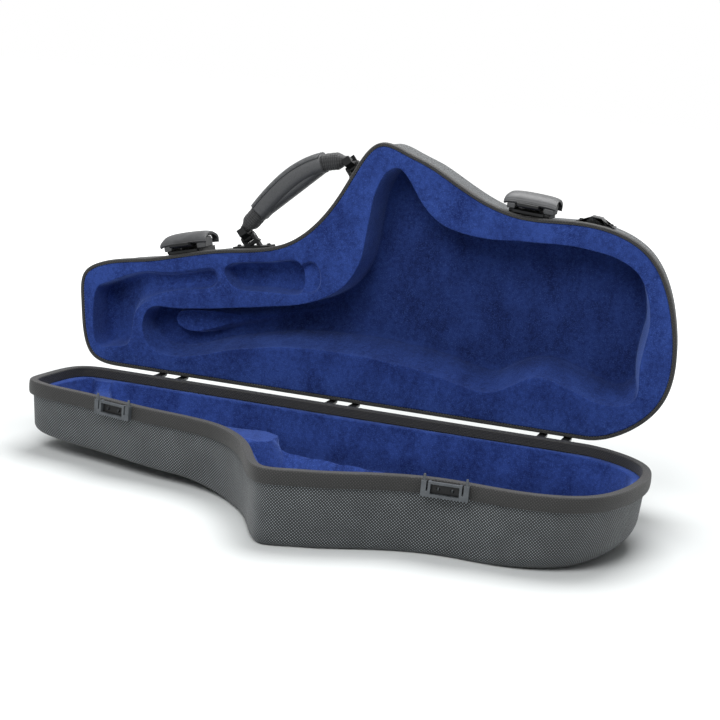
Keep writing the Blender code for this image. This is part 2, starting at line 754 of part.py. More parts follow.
def hollow_back(sink):
    """The space behind the lid's moulding, inside its skirt and below its face."""
    face = LID_LINING_FACE + LINING_WALL + STEP_DEPTH / 2
    bowl = bowl_rings(LID_FACE, LID_HEIGHT, LID_DRAFT, sink + LINING_WALL)
    rings = [level_ring(OUTLINE, -LID_FACE - sink - LINING_WALL, face)]
    rings += [level_ring(OUTLINE, -inset, LID_BASE + fall) for inset, fall in bowl[:-1]]
    inset = LID_FACE + LID_DRAFT + edge_radius(OUTLINE) + BACK_STRIP
    rings += [level_ring(OUTLINE, -inset, LID_BASE + fall) for fall in (bowl[-1][1], LID_HEIGHT + OVERRUN)]
    return new_object("hollow_back", finish_mesh("hollow_back", skin(rings, True, True)), cutter=True)


def lid_lining():
    """The lid's moulding: flush with the binding, recessed in front and hollow behind."""
    sink = LINING_SINK_LID
    rings = [level_ring(OUTLINE, -inset, LID_BASE + fall)
             for inset, fall in reversed(bowl_rings(LID_FACE, LID_HEIGHT, LID_DRAFT, sink))]
    lip = LID_LINING_FACE + LINING_LIP
    rings += [level_ring(OUTLINE, -LID_FACE - sink, lip),
              level_ring(OUTLINE, -BINDING_FACE - CLEARANCE, lip),
              level_ring(OUTLINE, -BINDING_FACE - CLEARANCE, LID_LINING_FACE)]
    item = new_object("lid_lining", finish_mesh("lid_lining", skin(rings, True, True)), PLUSH)
    for cutter in lid_recesses(0.0):
        boolean(item, cutter)
    hollow = hollow_back(sink)
    for cutter in lid_recesses(LINING_WALL):
        boolean(hollow, cutter)
    boolean(item, hollow)
    corners = plan(STEP_SHARES)
    rings = [[(*corner, height) for corner in corners]
             for height in (LID_LINING_FACE - OVERRUN, LID_LINING_FACE + STEP_DEPTH)]
    step = new_object("pocket_step", finish_mesh("pocket_step", skin(rings, True, True)), cutter=True)
    boolean(item, step)
    item.modifiers.new("flat faces", "TRIANGULATE")
    carry(item, "lid_frame")
    return item


def base_lining():
    """The base's moulding: a tub with a corner block, a bell saddle and a ridge at the neck end."""
    sink = LINING_SINK_BASE
    roll = RECESS_ROLL / 2
    rings = [level_ring(OUTLINE, -BASE_FACE - sink - roll, BASE_LINING_TOP),
             level_ring(OUTLINE, -BASE_FACE - sink, BASE_LINING_TOP - roll)]
    rings += [level_ring(OUTLINE, -inset, BASE_HEIGHT - fall)
              for inset, fall in bowl_rings(BASE_FACE, BASE_HEIGHT, BASE_DRAFT, sink)]
    mesh = skin(rings, True, True)
    raise_neck(mesh, sink, BASE_LINING_TOP)
    item = new_object("base_lining", finish_mesh("base_lining", mesh), PLUSH)
    floor = sink + LINING_FLOOR
    cutter = recess_cutter("base_recess", BASE_RECESS_SHARES, 2, BASE_LINING_TOP,
                           lambda ring: np.full(len(ring), BASE_LINING_TOP - floor), False,
                           bow_foot=BOW_FOOT)
    mesh = bmesh.new()
    mesh.from_mesh(cutter.data)
    raise_neck(mesh, floor, BASE_LINING_TOP - RECESS_ROLL)
    mesh.to_mesh(cutter.data)
    mesh.free()
    boolean(item, cutter)
    boolean(item, bell_saddle(floor), "UNION")
    boolean(item, neck_ridge(floor), "UNION")
    item.modifiers.new("flat faces", "TRIANGULATE")
    return item


def bell_saddle(floor):
    """A long wedge: steep behind, sloping down to the front, under the bell."""
    left, right = ((share - 0.5) * LENGTH for share in SADDLE_SHARES)
    front, crest, rear = ((share - 0.5) * WIDTH
                          for share in (SADDLE_FRONT_SHARE, SADDLE_CREST_SHARE, SADDLE_REAR_SHARE))
    root = floor - OVERRUN
    run = crest - front
    shift = run / 3
    rings = []
    for x, drop in ((left, 0), (right, shift)):
        rings.append([(x, front - drop, root), (x, crest - drop, SADDLE_HEIGHT),
                      (x, crest - drop + RECESS_FOOT / 2, SADDLE_HEIGHT - RECESS_ROLL),
                      (x, rear - drop, root)])
    mesh = skin(rings, True, True)
    return new_object("bell_saddle", finish_mesh("bell_saddle", mesh), cutter=True)


def neck_ridge(floor):
    """A low wall across the neck end that holds the body tube's end."""
    start, end = (Vector((*point, 0)) for point in plan(RIDGE_SHARES))
    side = (end - start).cross(Vector((0, 0, 1))).normalized() * (RIDGE_THICKNESS / 2)
    rings = []
    root = (floor + NECK_RISE / 2, 1.6)
    for height, width in (root, (RIDGE_HEIGHT - RECESS_ROLL, 1.0), (RIDGE_HEIGHT, 0.5)):
        ring = [start - side * width, end - side * width, end + side * width, start + side * width]
        rings.append([(point.x, point.y, height) for point in ring])
    mesh = skin(rings, True, True)
    return new_object("neck_ridge", finish_mesh("neck_ridge", mesh), cutter=True)


# Hinges

def hinge(side, share):
    """One hinge: a base leaf with the middle knuckle, a lid leaf with two knuckles, and the pin."""
    centre = (share - 0.5) * LENGTH
    place = Matrix.Translation((centre, WIDTH / 2, BASE_HEIGHT))
    half, middle = HINGE_WIDTH / 2, BASE_KNUCKLE_LENGTH / 2
    axis = (HINGE_OFFSET, -HINGE_DROP)

    face = -BASE_FACE + CLEARANCE
    arm = BAND_BULGE + ARM_STAND_OFF
    knee = -BAND_HEIGHT - ARM_STAND_OFF
    leaf_end = knee - BASE_LEAF_LENGTH
    plate = ((face, leaf_end), (face + LEAF_THICKNESS, leaf_end),
             (face + LEAF_THICKNESS, knee - LEAF_THICKNESS), (face, knee - LEAF_THICKNESS / 2))
    neck = ((face, knee - LEAF_THICKNESS * 2), (face + LEAF_THICKNESS, knee - LEAF_THICKNESS * 2),
            (arm + ARM_THICKNESS, knee + ARM_THICKNESS / 2), (arm + ARM_THICKNESS, axis[1]),
            (arm, axis[1]), (arm, knee + ARM_THICKNESS / 2), (face, knee - LEAF_THICKNESS / 2))
    name = f"hinge_{side}_base_leaf"
    base_leaf = prism(name, plate, -half + CLEARANCE, half - CLEARANCE, BLACK_STEEL)
    base_leaf.matrix_world = place
    heads = [rivet(f"{name}_rivet_{index}",
                   (sign * RIVET_SPACING / 2, face + LEAF_THICKNESS, knee - BASE_LEAF_LENGTH * 0.6),
                   (0, 1, 0), RIVET_RADIUS, RIVET_HEIGHT, cutter=True)
             for index, sign in enumerate((-1, 1))]
    union(base_leaf, [prism(f"{name}_arm", neck, -middle, middle, cutter=True),
                      rod(f"{name}_knuckle", BASE_KNUCKLE_RADIUS, (CLEARANCE - middle, *axis),
                          (middle - CLEARANCE, *axis), cutter=True), *heads], place)
    bore = HINGE_PIN_RADIUS + CLEARANCE
    cut(base_leaf, [rod(f"{name}_bore", bore, (-half, *axis), (half, *axis), cutter=True)], place)

    rise = SEAM_GAP
    face = -LID_FACE + CLEARANCE
    arm = BINDING_BULGE + ARM_STAND_OFF * 3
    knee = rise + BINDING_HEIGHT + ARM_STAND_OFF
    leaf_end = knee + LID_LEAF_LENGTH
    plate = ((face, knee + LEAF_THICKNESS / 2), (face + LEAF_THICKNESS, knee + LEAF_THICKNESS),
             (face + LEAF_THICKNESS, leaf_end), (face, leaf_end))
    neck = ((face, knee + LEAF_THICKNESS / 2), (arm, knee - ARM_THICKNESS / 2), (arm, axis[1]),
            (arm + ARM_THICKNESS, axis[1]), (arm + ARM_THICKNESS, knee - ARM_THICKNESS / 2),
            (face + LEAF_THICKNESS, knee + LEAF_THICKNESS * 2), (face, knee + LEAF_THICKNESS * 2))
    name = f"hinge_{side}_lid_leaf"
    lid_leaf = prism(name, plate, -half + CLEARANCE, half - CLEARANCE, BLACK_STEEL)
    lid_leaf.matrix_world = place
    inner = middle + KNUCKLE_GAP
    tools = []
    for index, (start, end) in enumerate(((-half, -inner), (inner, half))):
        tools.append(prism(f"{name}_arm_{index}", neck, start, end, cutter=True))
        tools.append(rod(f"{name}_knuckle_{index}", LID_KNUCKLE_RADIUS, (start + CLEARANCE, *axis),
                         (end - CLEARANCE, *axis), cutter=True))
    tools += [rivet(f"{name}_rivet_{index}",
                    (sign * RIVET_SPACING / 2, face + LEAF_THICKNESS, knee + LID_LEAF_LENGTH * 0.6),
                    (0, 1, 0), RIVET_RADIUS, RIVET_HEIGHT, cutter=True)
              for index, sign in enumerate((-1, 1))]
    union(lid_leaf, tools, place)
    cut(lid_leaf, [rod(f"{name}_bore", bore, (-half - OVERRUN, *axis), (half + OVERRUN, *axis),
                       cutter=True)], place)
    carry(lid_leaf, "lid_frame")

    reach = half + HINGE_PIN_OVERHANG
    pin = rod(f"hinge_{side}_pin", HINGE_PIN_RADIUS, (-reach, *axis), (reach, *axis), BRIGHT_STEEL)
    pin.matrix_world = place


# Latches: X along the rim, Y into the case, so outward lengths are negative Y

def latch_plate(side, place):
    """The black base of the latch: a plate on the wall, a tongue over the binding, two ears."""
    name = f"latch_{side}_plate"
    half = LATCH_PLATE_WIDTH / 2
    back = LID_FACE - CLEARANCE
    step = BINDING_HEIGHT + CLEARANCE * 2
    outline = ((-LATCH_PLATE_FACE, LATCH_PLATE_FOOT), (-BINDING_BULGE - CLEARANCE, LATCH_PLATE_FOOT),
               (-BINDING_BULGE - CLEARANCE, step), (back, step), (back, LATCH_PLATE_TOP),
               (-LATCH_PLATE_FACE, LATCH_PLATE_TOP))
    item = prism(name, outline, -half, half, BLACK_PLASTIC)
    item.matrix_world = place
    tools = []
    for index, sign in enumerate((-1, 1)):
        inner = LEVER_KNUCKLE_LENGTH / 2 + EAR_GAP
        start, end = sorted((sign * inner, sign * (inner + EAR_THICKNESS)))
        axis = (-LEVER_AXIS_OUT, LEVER_AXIS_UP)
        tools.append(rod(f"{name}_ear_{index}", EAR_RADIUS, (start + EAR_GAP / 4, *axis),
                         (end - EAR_GAP / 4, *axis), cutter=True))
        stem = EAR_RADIUS * EAR_STEM_SHARE
        tools.append(block(f"{name}_stem_{index}", (start, -LEVER_AXIS_OUT, LEVER_AXIS_UP - stem),
                           (end, -LATCH_PLATE_FACE + OVERRUN, LEVER_AXIS_UP + stem), cutter=True))
    union(item, tools, place)
    cutters = [rod(f"{name}_bore", LEVER_PIN_RADIUS + CLEARANCE, (-half, *axis), (half, *axis), cutter=True)]
    for index, sign in enumerate((-1, 1)):
        centre = sign * peg_place()
        width = PEG_RADIUS + CLEARANCE * 2
        cutters.append(block(f"{name}_notch_{index}",
                             (centre - width, -LATCH_PLATE_FACE - OVERRUN, LATCH_PLATE_FOOT - OVERRUN),
                             (centre + width, OVERRUN, PEG_NOTCH_TOP), cutter=True))
    cut(item, cutters, place)
    carry(item, "lid_frame")


def hood_section(height_share):
    """Outer curve of the hood at one place along it: from the lip over the top to the heel."""
    base = LATCH_PLATE_FACE
    points = []
    for along, up in HOOD_SHARES:
        points.append((LEVER_LIP_OUT + (LEVER_TOP - LEVER_LIP_OUT) * up,
                       LEVER_LIP_UP + (LEVER_AXIS_UP - LEVER_LIP_UP) * along))
    heel = LEVER_KNUCKLE_RADIUS
    for angle in HOOD_HEEL_ANGLES:
        points.append((LEVER_AXIS_OUT + heel * math.cos(angle), LEVER_AXIS_UP + heel * math.sin(angle)))
    return [(base + (out - base) * height_share, up) for out, up in points]


def latch_lever(side, place):
    """The lever: a crowned hood with a heel knuckle for its pin and two ribs for the claw's pin."""
    name = f"latch_{side}_lever"
    half = LEVER_LENGTH / 2
    mesh = bmesh.new()
    rows = [[mesh.verts.new((place_share * half, -out, up)) for out, up in hood_section(height)]
            for place_share, height in HOOD_END_SHARES]
    for left, right in zip(rows, rows[1:]):
        for index in range(len(left) - 1):
            mesh.faces.new((left[index], left[index + 1], right[index + 1], right[index]))
    data = bpy.data.meshes.new(name)
    mesh.normal_update()
    mesh.to_mesh(data)
    mesh.free()
    item = new_object(name, data, GREY_PLASTIC)
    if item.data.polygons[len(item.data.polygons) // 2].normal.y > 0:
        item.data.flip_normals()
    item.matrix_world = place
    solidify(item, LEVER_WALL)
    item.modifiers.new("flat faces", "TRIANGULATE")
    knuckle = LEVER_KNUCKLE_LENGTH / 2
    axis = (-LEVER_AXIS_OUT, LEVER_AXIS_UP)
    claw_axis = (-CLAW_AXIS_OUT, CLAW_AXIS_UP)
    tools = [rod(f"{name}_knuckle", LEVER_KNUCKLE_RADIUS - CLEARANCE, (-knuckle, *axis), (knuckle, *axis),
                 cutter=True)]
    barrel = CLAW_WIDTH / 2 + RUNNING_GAP
    radius = CLAW_BARREL_RADIUS
    for index, sign in enumerate((-1, 1)):
        start, end = sorted((sign * barrel, sign * (barrel + CLAW_RIB)))
        rib = ((-CLAW_AXIS_OUT + radius, CLAW_AXIS_UP - radius),
               (-CLAW_AXIS_OUT + radius, CLAW_AXIS_UP + radius),
               (-LEVER_AXIS_OUT, LEVER_AXIS_UP), (-LEVER_TOP + LEVER_WALL / 2, CLAW_AXIS_UP + radius),
               (-LEVER_TOP + LEVER_WALL / 2, CLAW_AXIS_UP - radius * 1.5))
        tools.append(prism(f"{name}_rib_{index}", rib, start, end, cutter=True))
    union(item, tools, place)
    cutters = [
        rod(f"{name}_bore", LEVER_PIN_RADIUS + CLEARANCE, (-half, *axis), (half, *axis), cutter=True),
        rod(f"{name}_claw_bore", CLAW_PIN_RADIUS + CLEARANCE / 2, (-knuckle, *claw_axis),
            (knuckle, *claw_axis), cutter=True),
    ]
    for index, sign in enumerate((-1, 1)):
        start, end = sorted((sign * knuckle, sign * (knuckle + EAR_THICKNESS + EAR_GAP * 2)))
        cutters.append(block(f"{name}_ear_slot_{index}",
                             (start, -LEVER_TOP - OVERRUN, LEVER_AXIS_UP + EAR_RADIUS / 2),
                             (end, 0, LEVER_AXIS_UP + LEVER_KNUCKLE_RADIUS * 2), cutter=True))
    cut(item, cutters, place)
    carry(item, f"latch_{side}_lever_frame")


def latch_claw(side, place):
    """The claw: a barrel on its pin, a tongue behind the hood's lip and a hook that steps out."""
    name = f"latch_{side}_claw"
    front = -(BAND_BULGE + CLEARANCE + CATCH_DEPTH)
    inner = front - CLEARANCE * 3
    outer = inner - CLAW_THICKNESS
    bar_under = -CATCH_TOP_DROP - CATCH_BAR - SEAM_GAP
    hook_top = bar_under - RUNNING_GAP
    hook_end = hook_top - CLAW_HOOK_DEPTH * 1.3
    tip = inner + CLAW_HOOK_DEPTH
    tongue = -LATCH_PLATE_FACE - CLAW_CLEARANCE
    step = CLAW_THICKNESS / 3
    bend = LEVER_LIP_UP * 2
    axis = (-CLAW_AXIS_OUT, CLAW_AXIS_UP)
    radius = CLAW_BARREL_RADIUS
    outline = (
        (tip, hook_top), (tip, hook_end + CLAW_THICKNESS / 2), (tip - CLAW_THICKNESS / 2, hook_end),
        (outer + CLAW_THICKNESS / 3, hook_end), (outer, hook_end + CLAW_THICKNESS / 3), (outer, -step),
        (tongue - CLAW_THICKNESS, step * 2), (tongue - CLAW_THICKNESS, bend),
        (axis[0] - radius * 0.6, axis[1] - radius * 0.6), (axis[0] - radius * 0.6, axis[1] + radius * 0.4),
        (axis[0] + radius * 0.8, axis[1] + radius * 0.4), (axis[0] + radius * 0.8, axis[1] - radius),
        (tongue, bend + CLAW_THICKNESS), (tongue, step * 2), (inner, -step), (inner, hook_top),
    )
    half = CLAW_WIDTH / 2
    item = prism(name, outline, -half, half, BLACK_PLASTIC)
    union(item, [rod(f"{name}_barrel", radius, (-half, *axis), (half, *axis), cutter=True)], place)
    cut(item, [rod(f"{name}_bore", CLAW_PIN_RADIUS + CLEARANCE, (-half - OVERRUN, *axis),
                   (half + OVERRUN, *axis), cutter=True)], place)
    item.matrix_world = place
    carry(item, f"latch_{side}_claw_frame")
    reach = half + RUNNING_GAP + CLAW_RIB
    pin = rod(f"latch_{side}_claw_pin", CLAW_PIN_RADIUS, (-reach, *axis), (reach, *axis), BRIGHT_STEEL,
              segments=ROUND_SEGMENTS // 2)
    pin.matrix_world = place
    carry(pin, f"latch_{side}_lever_frame")


def latch(side, share):
    """One latch on the lid, with its lever and claw on their own axes, and its catch."""
    seat = Seat(share, LATCH_HALF_SPAN)
    place = seat.matrix(LID_BASE)
    lever_axis = place @ Matrix.Translation((0, -LEVER_AXIS_OUT, LEVER_AXIS_UP))
    claw_axis = place @ Matrix.Translation((0, -CLAW_AXIS_OUT, CLAW_AXIS_UP))
    add_frame(f"latch_{side}_lever_frame", lever_axis, "lid_frame")
    add_frame(f"latch_{side}_claw_frame", claw_axis, f"latch_{side}_lever_frame")
    latch_plate(side, place)
    latch_lever(side, place)
    latch_claw(side, place)
    reach = LEVER_KNUCKLE_LENGTH / 2 + EAR_GAP + EAR_THICKNESS
    axis = (-LEVER_AXIS_OUT, LEVER_AXIS_UP)
    pin = rod(f"latch_{side}_lever_pin", LEVER_PIN_RADIUS, (-reach, *axis), (reach, *axis), BRIGHT_STEEL,
              segments=ROUND_SEGMENTS // 2)
    pin.matrix_world = place
    carry(pin, "lid_frame")
    catch(side, seat.matrix(BASE_HEIGHT))


# Catches

def peg_place():
    """Distance of each peg from the middle of its catch."""
    return CATCH_WIDTH / 2 - CATCH_POST / 2 - CATCH_SLOT / 2


def catch(side, place):
    """One catch on the base: a frame with two pegged posts, an insert behind it, two rivets."""
    name = f"catch_{side}_frame"
    half = CATCH_WIDTH / 2
    back = -(BAND_BULGE + CLEARANCE)
    front = back - CATCH_DEPTH
    foot = -CATCH_HEIGHT
    top = -CATCH_TOP_DROP
    item = block(name, (-half, front, foot), (half, back, top), GREY_PLASTIC)
    item.matrix_world = place
    window = half - CATCH_POST - CATCH_SLOT - CATCH_BAR
    sill = foot + CATCH_SILL
    cutters = [
        block(f"{name}_window", (-window, front - OVERRUN, sill), (window, back + OVERRUN, top - CATCH_BAR),
              cutter=True),
        block(f"{name}_bar_rebate", (-window, back - CATCH_DEPTH / 2, sill),
              (window, back + OVERRUN, top + OVERRUN),
              cutter=True),
    ]
    for index, sign in enumerate((-1, 1)):
        start, end = sorted((sign * (half - CATCH_POST), sign * (half - CATCH_POST - CATCH_SLOT)))
        cutters.append(block(f"{name}_slot_{index}", (start, front - OVERRUN, sill + CATCH_SILL),
                             (end, back + OVERRUN, top + OVERRUN), cutter=True))
    cut(item, cutters, place)
    pegs = []
    for index, sign in enumerate((-1, 1)):
        centre = sign * (half - CATCH_POST / 2)
        pegs.append(rod(f"{name}_peg_{index}", PEG_RADIUS, (centre, (front + back) / 2, top - OVERRUN),
                        (centre, (front + back) / 2, top + PEG_HEIGHT), cutter=True, tip=PEG_TIP_RADIUS,
                        segments=ROUND_SEGMENTS // 2))
    union(item, pegs, place)

    inset = window - CLEARANCE
    insert = block(f"catch_{side}_insert", (-inset, back - INSERT_THICKNESS, sill + CLEARANCE),
                   (inset, back, top - CATCH_BAR), BLACK_PLASTIC)
    insert.matrix_world = place
    middle = (sill + top - CATCH_BAR) / 2
    for label, sign in (("a", -1), ("b", 1)):
        foot_point = (sign * CATCH_RIVET_SPACING / 2,
                      back - INSERT_THICKNESS - RIVET_ROOT - CLEARANCE, middle)
        head = rivet(f"catch_{side}_rivet_{label}", foot_point, (0, -1, 0), SCREW_RADIUS / 2 * 1.4,
                     INSERT_THICKNESS / 2, BRIGHT_STEEL)
        head.matrix_world = place


# Handle

def handle_ends():
    """The two seats of the handle and its pivots, as plan points."""
    seats = [Seat(share, BRACKET_LENGTH / 2) for share in HANDLE_FOOT_SHARES]
    pivots = [seat.foot + seat.normal * (seat.stand_off + HANDLE_STAND_OFF) for seat in seats]
    return seats, pivots


def chord_frame(pivots):
    """Frame of the handle: origin at the left pivot, X to the right pivot, Y outwards, Z along depth."""
    chord = pivots[1] - pivots[0]
    along = Vector((*chord, 0)).normalized()
    up = Vector((0, 0, 1))
    out = -up.cross(along)
    matrix = Matrix((along, out, along.cross(out))).transposed().to_4x4()
    return Matrix.Translation((*pivots[0], LID_BASE + HANDLE_LEVEL)) @ matrix, float(np.linalg.norm(chord))


def handle_path(length):
    """Centre line of the handle in its frame, from eye to eye, with its unit tangents."""
    ends = ((LINK_BAR_SHIFT, LINK_BAR_RISE), (length - LINK_BAR_SHIFT, LINK_BAR_RISE))
    middle = [(along * length, rise * HANDLE_RISE) for along, rise in HANDLE_CENTRE_SHARES]
    points = np.array([ends[0], *middle, ends[1]])
    lean = np.array((1.0, 0.35))
    lean /= np.linalg.norm(lean)
    curve = spline(points, HANDLE_SECTIONS,
                   lean * math.sqrt(HANDLE_RISE), lean * (1, -1) * math.sqrt(HANDLE_RISE))
    distance = np.concatenate([[0], np.cumsum(np.linalg.norm(np.diff(curve, axis=0), axis=1))])
    return curve, distance / distance[-1]


def tube_section(centre, normal, half_height, half_width, power=2.6):
    """A rounded oval ring across the handle: a superellipse in the plane of normal and Z."""
    ring = []
    for index in range(HANDLE_SECTION_POINTS):
        angle = 2 * math.pi * (index + 0.5) / HANDLE_SECTION_POINTS
        across, side = math.cos(angle), math.sin(angle)
        across = math.copysign(abs(across) ** (2 / power), across) * half_height
        side = math.copysign(abs(side) ** (2 / power), side) * half_width
        ring.append((centre[0] + normal[0] * across, centre[1] + normal[1] * across, side))
    return ring


def handle_tube(length, shares, heights, widths):
    """Rings along the handle's centre line with given half heights and widths."""
    curve, travelled = handle_path(length)
    tangents = np.gradient(curve, axis=0)
    tangents /= np.linalg.norm(tangents, axis=1)[:, None]
    rings = []
    for share, height, width in zip(shares, heights, widths):
        centre = np.array([np.interp(share, travelled, curve[:, axis]) for axis in (0, 1)])
        tangent = np.array([np.interp(share, travelled, tangents[:, axis]) for axis in (0, 1)])
        tangent /= np.linalg.norm(tangent)
        beyond = min(0.0, share) + max(0.0, share - 1)
        centre = centre + tangent * beyond * length
        rings.append(tube_section(centre, (-tangent[1], tangent[0]), height, width))
    return rings


def webbing_size(share):
    """Half height and half width of the webbing: thin at the eyes, full inside the grip."""
    rise = np.clip(min(share, 1 - share) / GRIP_SPAN_SHARES[0], 0, 1)
    rise = rise * rise * (3 - 2 * rise)
    return (EYE_HALF_HEIGHT + (WEBBING_HALF_HEIGHT - EYE_HALF_HEIGHT) * rise,
            EYE_HALF_WIDTH + (WEBBING_HALF_WIDTH - EYE_HALF_WIDTH) * rise)


def handle_webbing(place, length):
    """The core: webbing folded round foam, with an eye at each end for the link's bar."""
    tip = EYE_HALF_HEIGHT / length
    shares = [-tip, -tip * 0.6, *np.linspace(0, 1, HANDLE_SECTIONS), 1 + tip * 0.6, 1 + tip]
    sizes = []
    for share in shares:
        height, width = webbing_size(min(max(share, 0.0), 1.0))
        over = max(-share, share - 1, 0.0) / tip
        shrink = math.sqrt(max(0.08, 1 - over * over))
        sizes.append((height * shrink, width))
    rings = handle_tube(length, shares, [size[0] for size in sizes], [size[1] for size in sizes])
    item = new_object("handle_webbing", finish_mesh("handle_webbing", skin(rings, True, True)), WEBBING)
    item.matrix_world = place
    eyes = []
    for index, along in enumerate((LINK_BAR_SHIFT, length - LINK_BAR_SHIFT)):
        eyes.append(rod(f"handle_eye_{index}", LINK_BAR_RADIUS + CLEARANCE,
                        (along, LINK_BAR_RISE, -LINK_SPAN),
                        (along, LINK_BAR_RISE, LINK_SPAN), cutter=True))
    cut(item, eyes, place)
    carry(item, "handle_frame")


def handle_grip(place, length):
    """The padded sleeve round the webbing: fuller in the middle, with rolled ends."""
    start, end = GRIP_SPAN_SHARES
    shares = list(np.linspace(start, end, HANDLE_SECTIONS - 6))
    swell = [math.sin(math.pi * (share - start) / (end - start)) for share in shares]
    outer_heights = [GRIP_HALF_HEIGHT * (0.90 + 0.10 * bulge) for bulge in swell]
    outer_widths = [GRIP_HALF_WIDTH * (0.92 + 0.08 * bulge) for bulge in swell]
    inner_sizes = [webbing_size(share) for share in shares]
    inner_heights = [height + CLEARANCE for height, _ in inner_sizes]
    inner_widths = [width + CLEARANCE for _, width in inner_sizes]
    outer = handle_tube(length, shares, outer_heights, outer_widths)
    inner = handle_tube(length, shares, inner_heights, inner_widths)
    mesh = skin([*outer, *inner[::-1], outer[0]])
    bmesh.ops.remove_doubles(mesh, verts=mesh.verts, dist=CLEARANCE / 10)
    item = new_object("handle_grip", finish_mesh("handle_grip", mesh), LEATHER)
    item.matrix_world = place
    carry(item, "handle_frame")


def handle_link(side, place, along, outwards):
    """A stirrup that swings on the bracket's pin and carries the webbing on its cross bar."""
    name = f"handle_{side}_link"
    half = LINK_LENGTH / 2
    span, rise, top = LINK_SPAN / 2, LINK_BAR_RISE, LINK_BAR_RISE + LINK_BAR_RADIUS
    floor = rise - EYE_HALF_HEIGHT - RUNNING_GAP
    inner, neck = span - LINK_CHEEK, LINK_RADIUS * LINK_NECK_SHARE
    stirrup = ((0, -neck), (floor - LINK_CHEEK / 4, -span), (top, -span), (top, -inner), (floor, -inner),
               (floor, inner), (top, inner), (top, span), (floor - LINK_CHEEK / 4, span), (0, neck))
    item = prism(name, stirrup, along - half, along + half, BLACK_PLASTIC)
    item.matrix_world = place
    bar = along + outwards * LINK_BAR_SHIFT
    union(item, [
        rod(f"{name}_barrel", LINK_RADIUS,
            (along - half + CLEARANCE, 0, 0), (along + half - CLEARANCE, 0, 0),
            cutter=True),
        rod(f"{name}_bar", LINK_BAR_RADIUS - CLEARANCE / 4, (bar, rise, CLEARANCE - span),
            (bar, rise, span - CLEARANCE), cutter=True),
    ], place)
    cut(item, [rod(f"{name}_bore", LINK_PIN_RADIUS + CLEARANCE, (along - half - OVERRUN, 0, 0),
                   (along + half + OVERRUN, 0, 0), cutter=True)], place)
    carry(item, "handle_frame")


def handle_bracket(side, seat, place, along):
    """A plate on the lid wall with two lugs square to the swing axis, its pin and two screws."""
    name = f"handle_{side}_bracket"
    wall = seat.matrix(LID_BASE + HANDLE_LEVEL)
    chord, foot = place.to_3x3().col[0], wall.to_3x3().col[0]
    lean = math.atan2(chord.y, chord.x) - math.atan2(foot.y, foot.x)
    wall = wall @ Matrix.Translation((-HANDLE_STAND_OFF * math.tan(lean), 0, 0))
    half_length, half_width = BRACKET_LENGTH / 2, BRACKET_WIDTH / 2
    back = lid_wall(HANDLE_LEVEL - half_width) - CLEARANCE
    item = block(name, (-half_length, -BRACKET_FACE, -half_width),
                 (half_length, back, half_width), BLACK_PLASTIC)
    item.matrix_world = wall
    inner = LINK_LENGTH / 2 + RUNNING_GAP
    root = HANDLE_STAND_OFF + (back - BRACKET_FACE) / 2
    lugs = []
    for index, sign in enumerate((-1, 1)):
        start, end = sorted((sign * inner, sign * (inner + LUG_THICKNESS)))
        reach = (root - (start + end) / 2 * math.sin(lean)) / math.cos(lean)
        lugs.append(block(f"{name}_lug_{index}", (along + start, -reach, -LUG_RADIUS * LUG_STEM_SHARE),
                          (along + end, 0, LUG_RADIUS * LUG_STEM_SHARE), cutter=True))
        lugs.append(rod(f"{name}_lug_head_{index}", LUG_RADIUS, (along + start + CLEARANCE / 3, 0, 0),
                        (along + end - CLEARANCE / 3, 0, 0), cutter=True))
    union(item, lugs, place)
    outer = inner + LUG_THICKNESS
    cut(item, [rod(f"{name}_bore", LINK_PIN_RADIUS + CLEARANCE, (along - outer - OVERRUN, 0, 0),
                   (along + outer + OVERRUN, 0, 0), cutter=True)], place)
    carry(item, "lid_frame")
    pin = rod(f"handle_{side}_pin", LINK_PIN_RADIUS,
              (along - outer, 0, 0), (along + outer, 0, 0), BRIGHT_STEEL,
              segments=ROUND_SEGMENTS // 2)
    pin.matrix_world = place
    carry(pin, "lid_frame")
    for label, sign in (("a", -1), ("b", 1)):
        foot = (sign * BRACKET_SCREW_SPACING / 2, -BRACKET_FACE - RIVET_ROOT - CLEARANCE, 0)
        screw = rivet(f"handle_{side}_screw_{label}", foot, (0, -1, 0),
                      SCREW_RADIUS, SCREW_HEIGHT, BRIGHT_STEEL)
        screw.matrix_world = wall
        carry(screw, "lid_frame")


def handle():
    """The whole handle: brackets on the lid, and links, webbing and grip that swing together."""
    seats, pivots = handle_ends()
    place, length = chord_frame(pivots)
    add_frame("handle_frame", place, "lid_frame")
    handle_webbing(place, length)
    handle_grip(place, length)
    for side, seat, along, outwards in (("left", seats[0], 0.0, 1), ("right", seats[1], length, -1)):
        handle_link(side, place, along, outwards)
        handle_bracket(side, seat, place, along)


# Strap loop

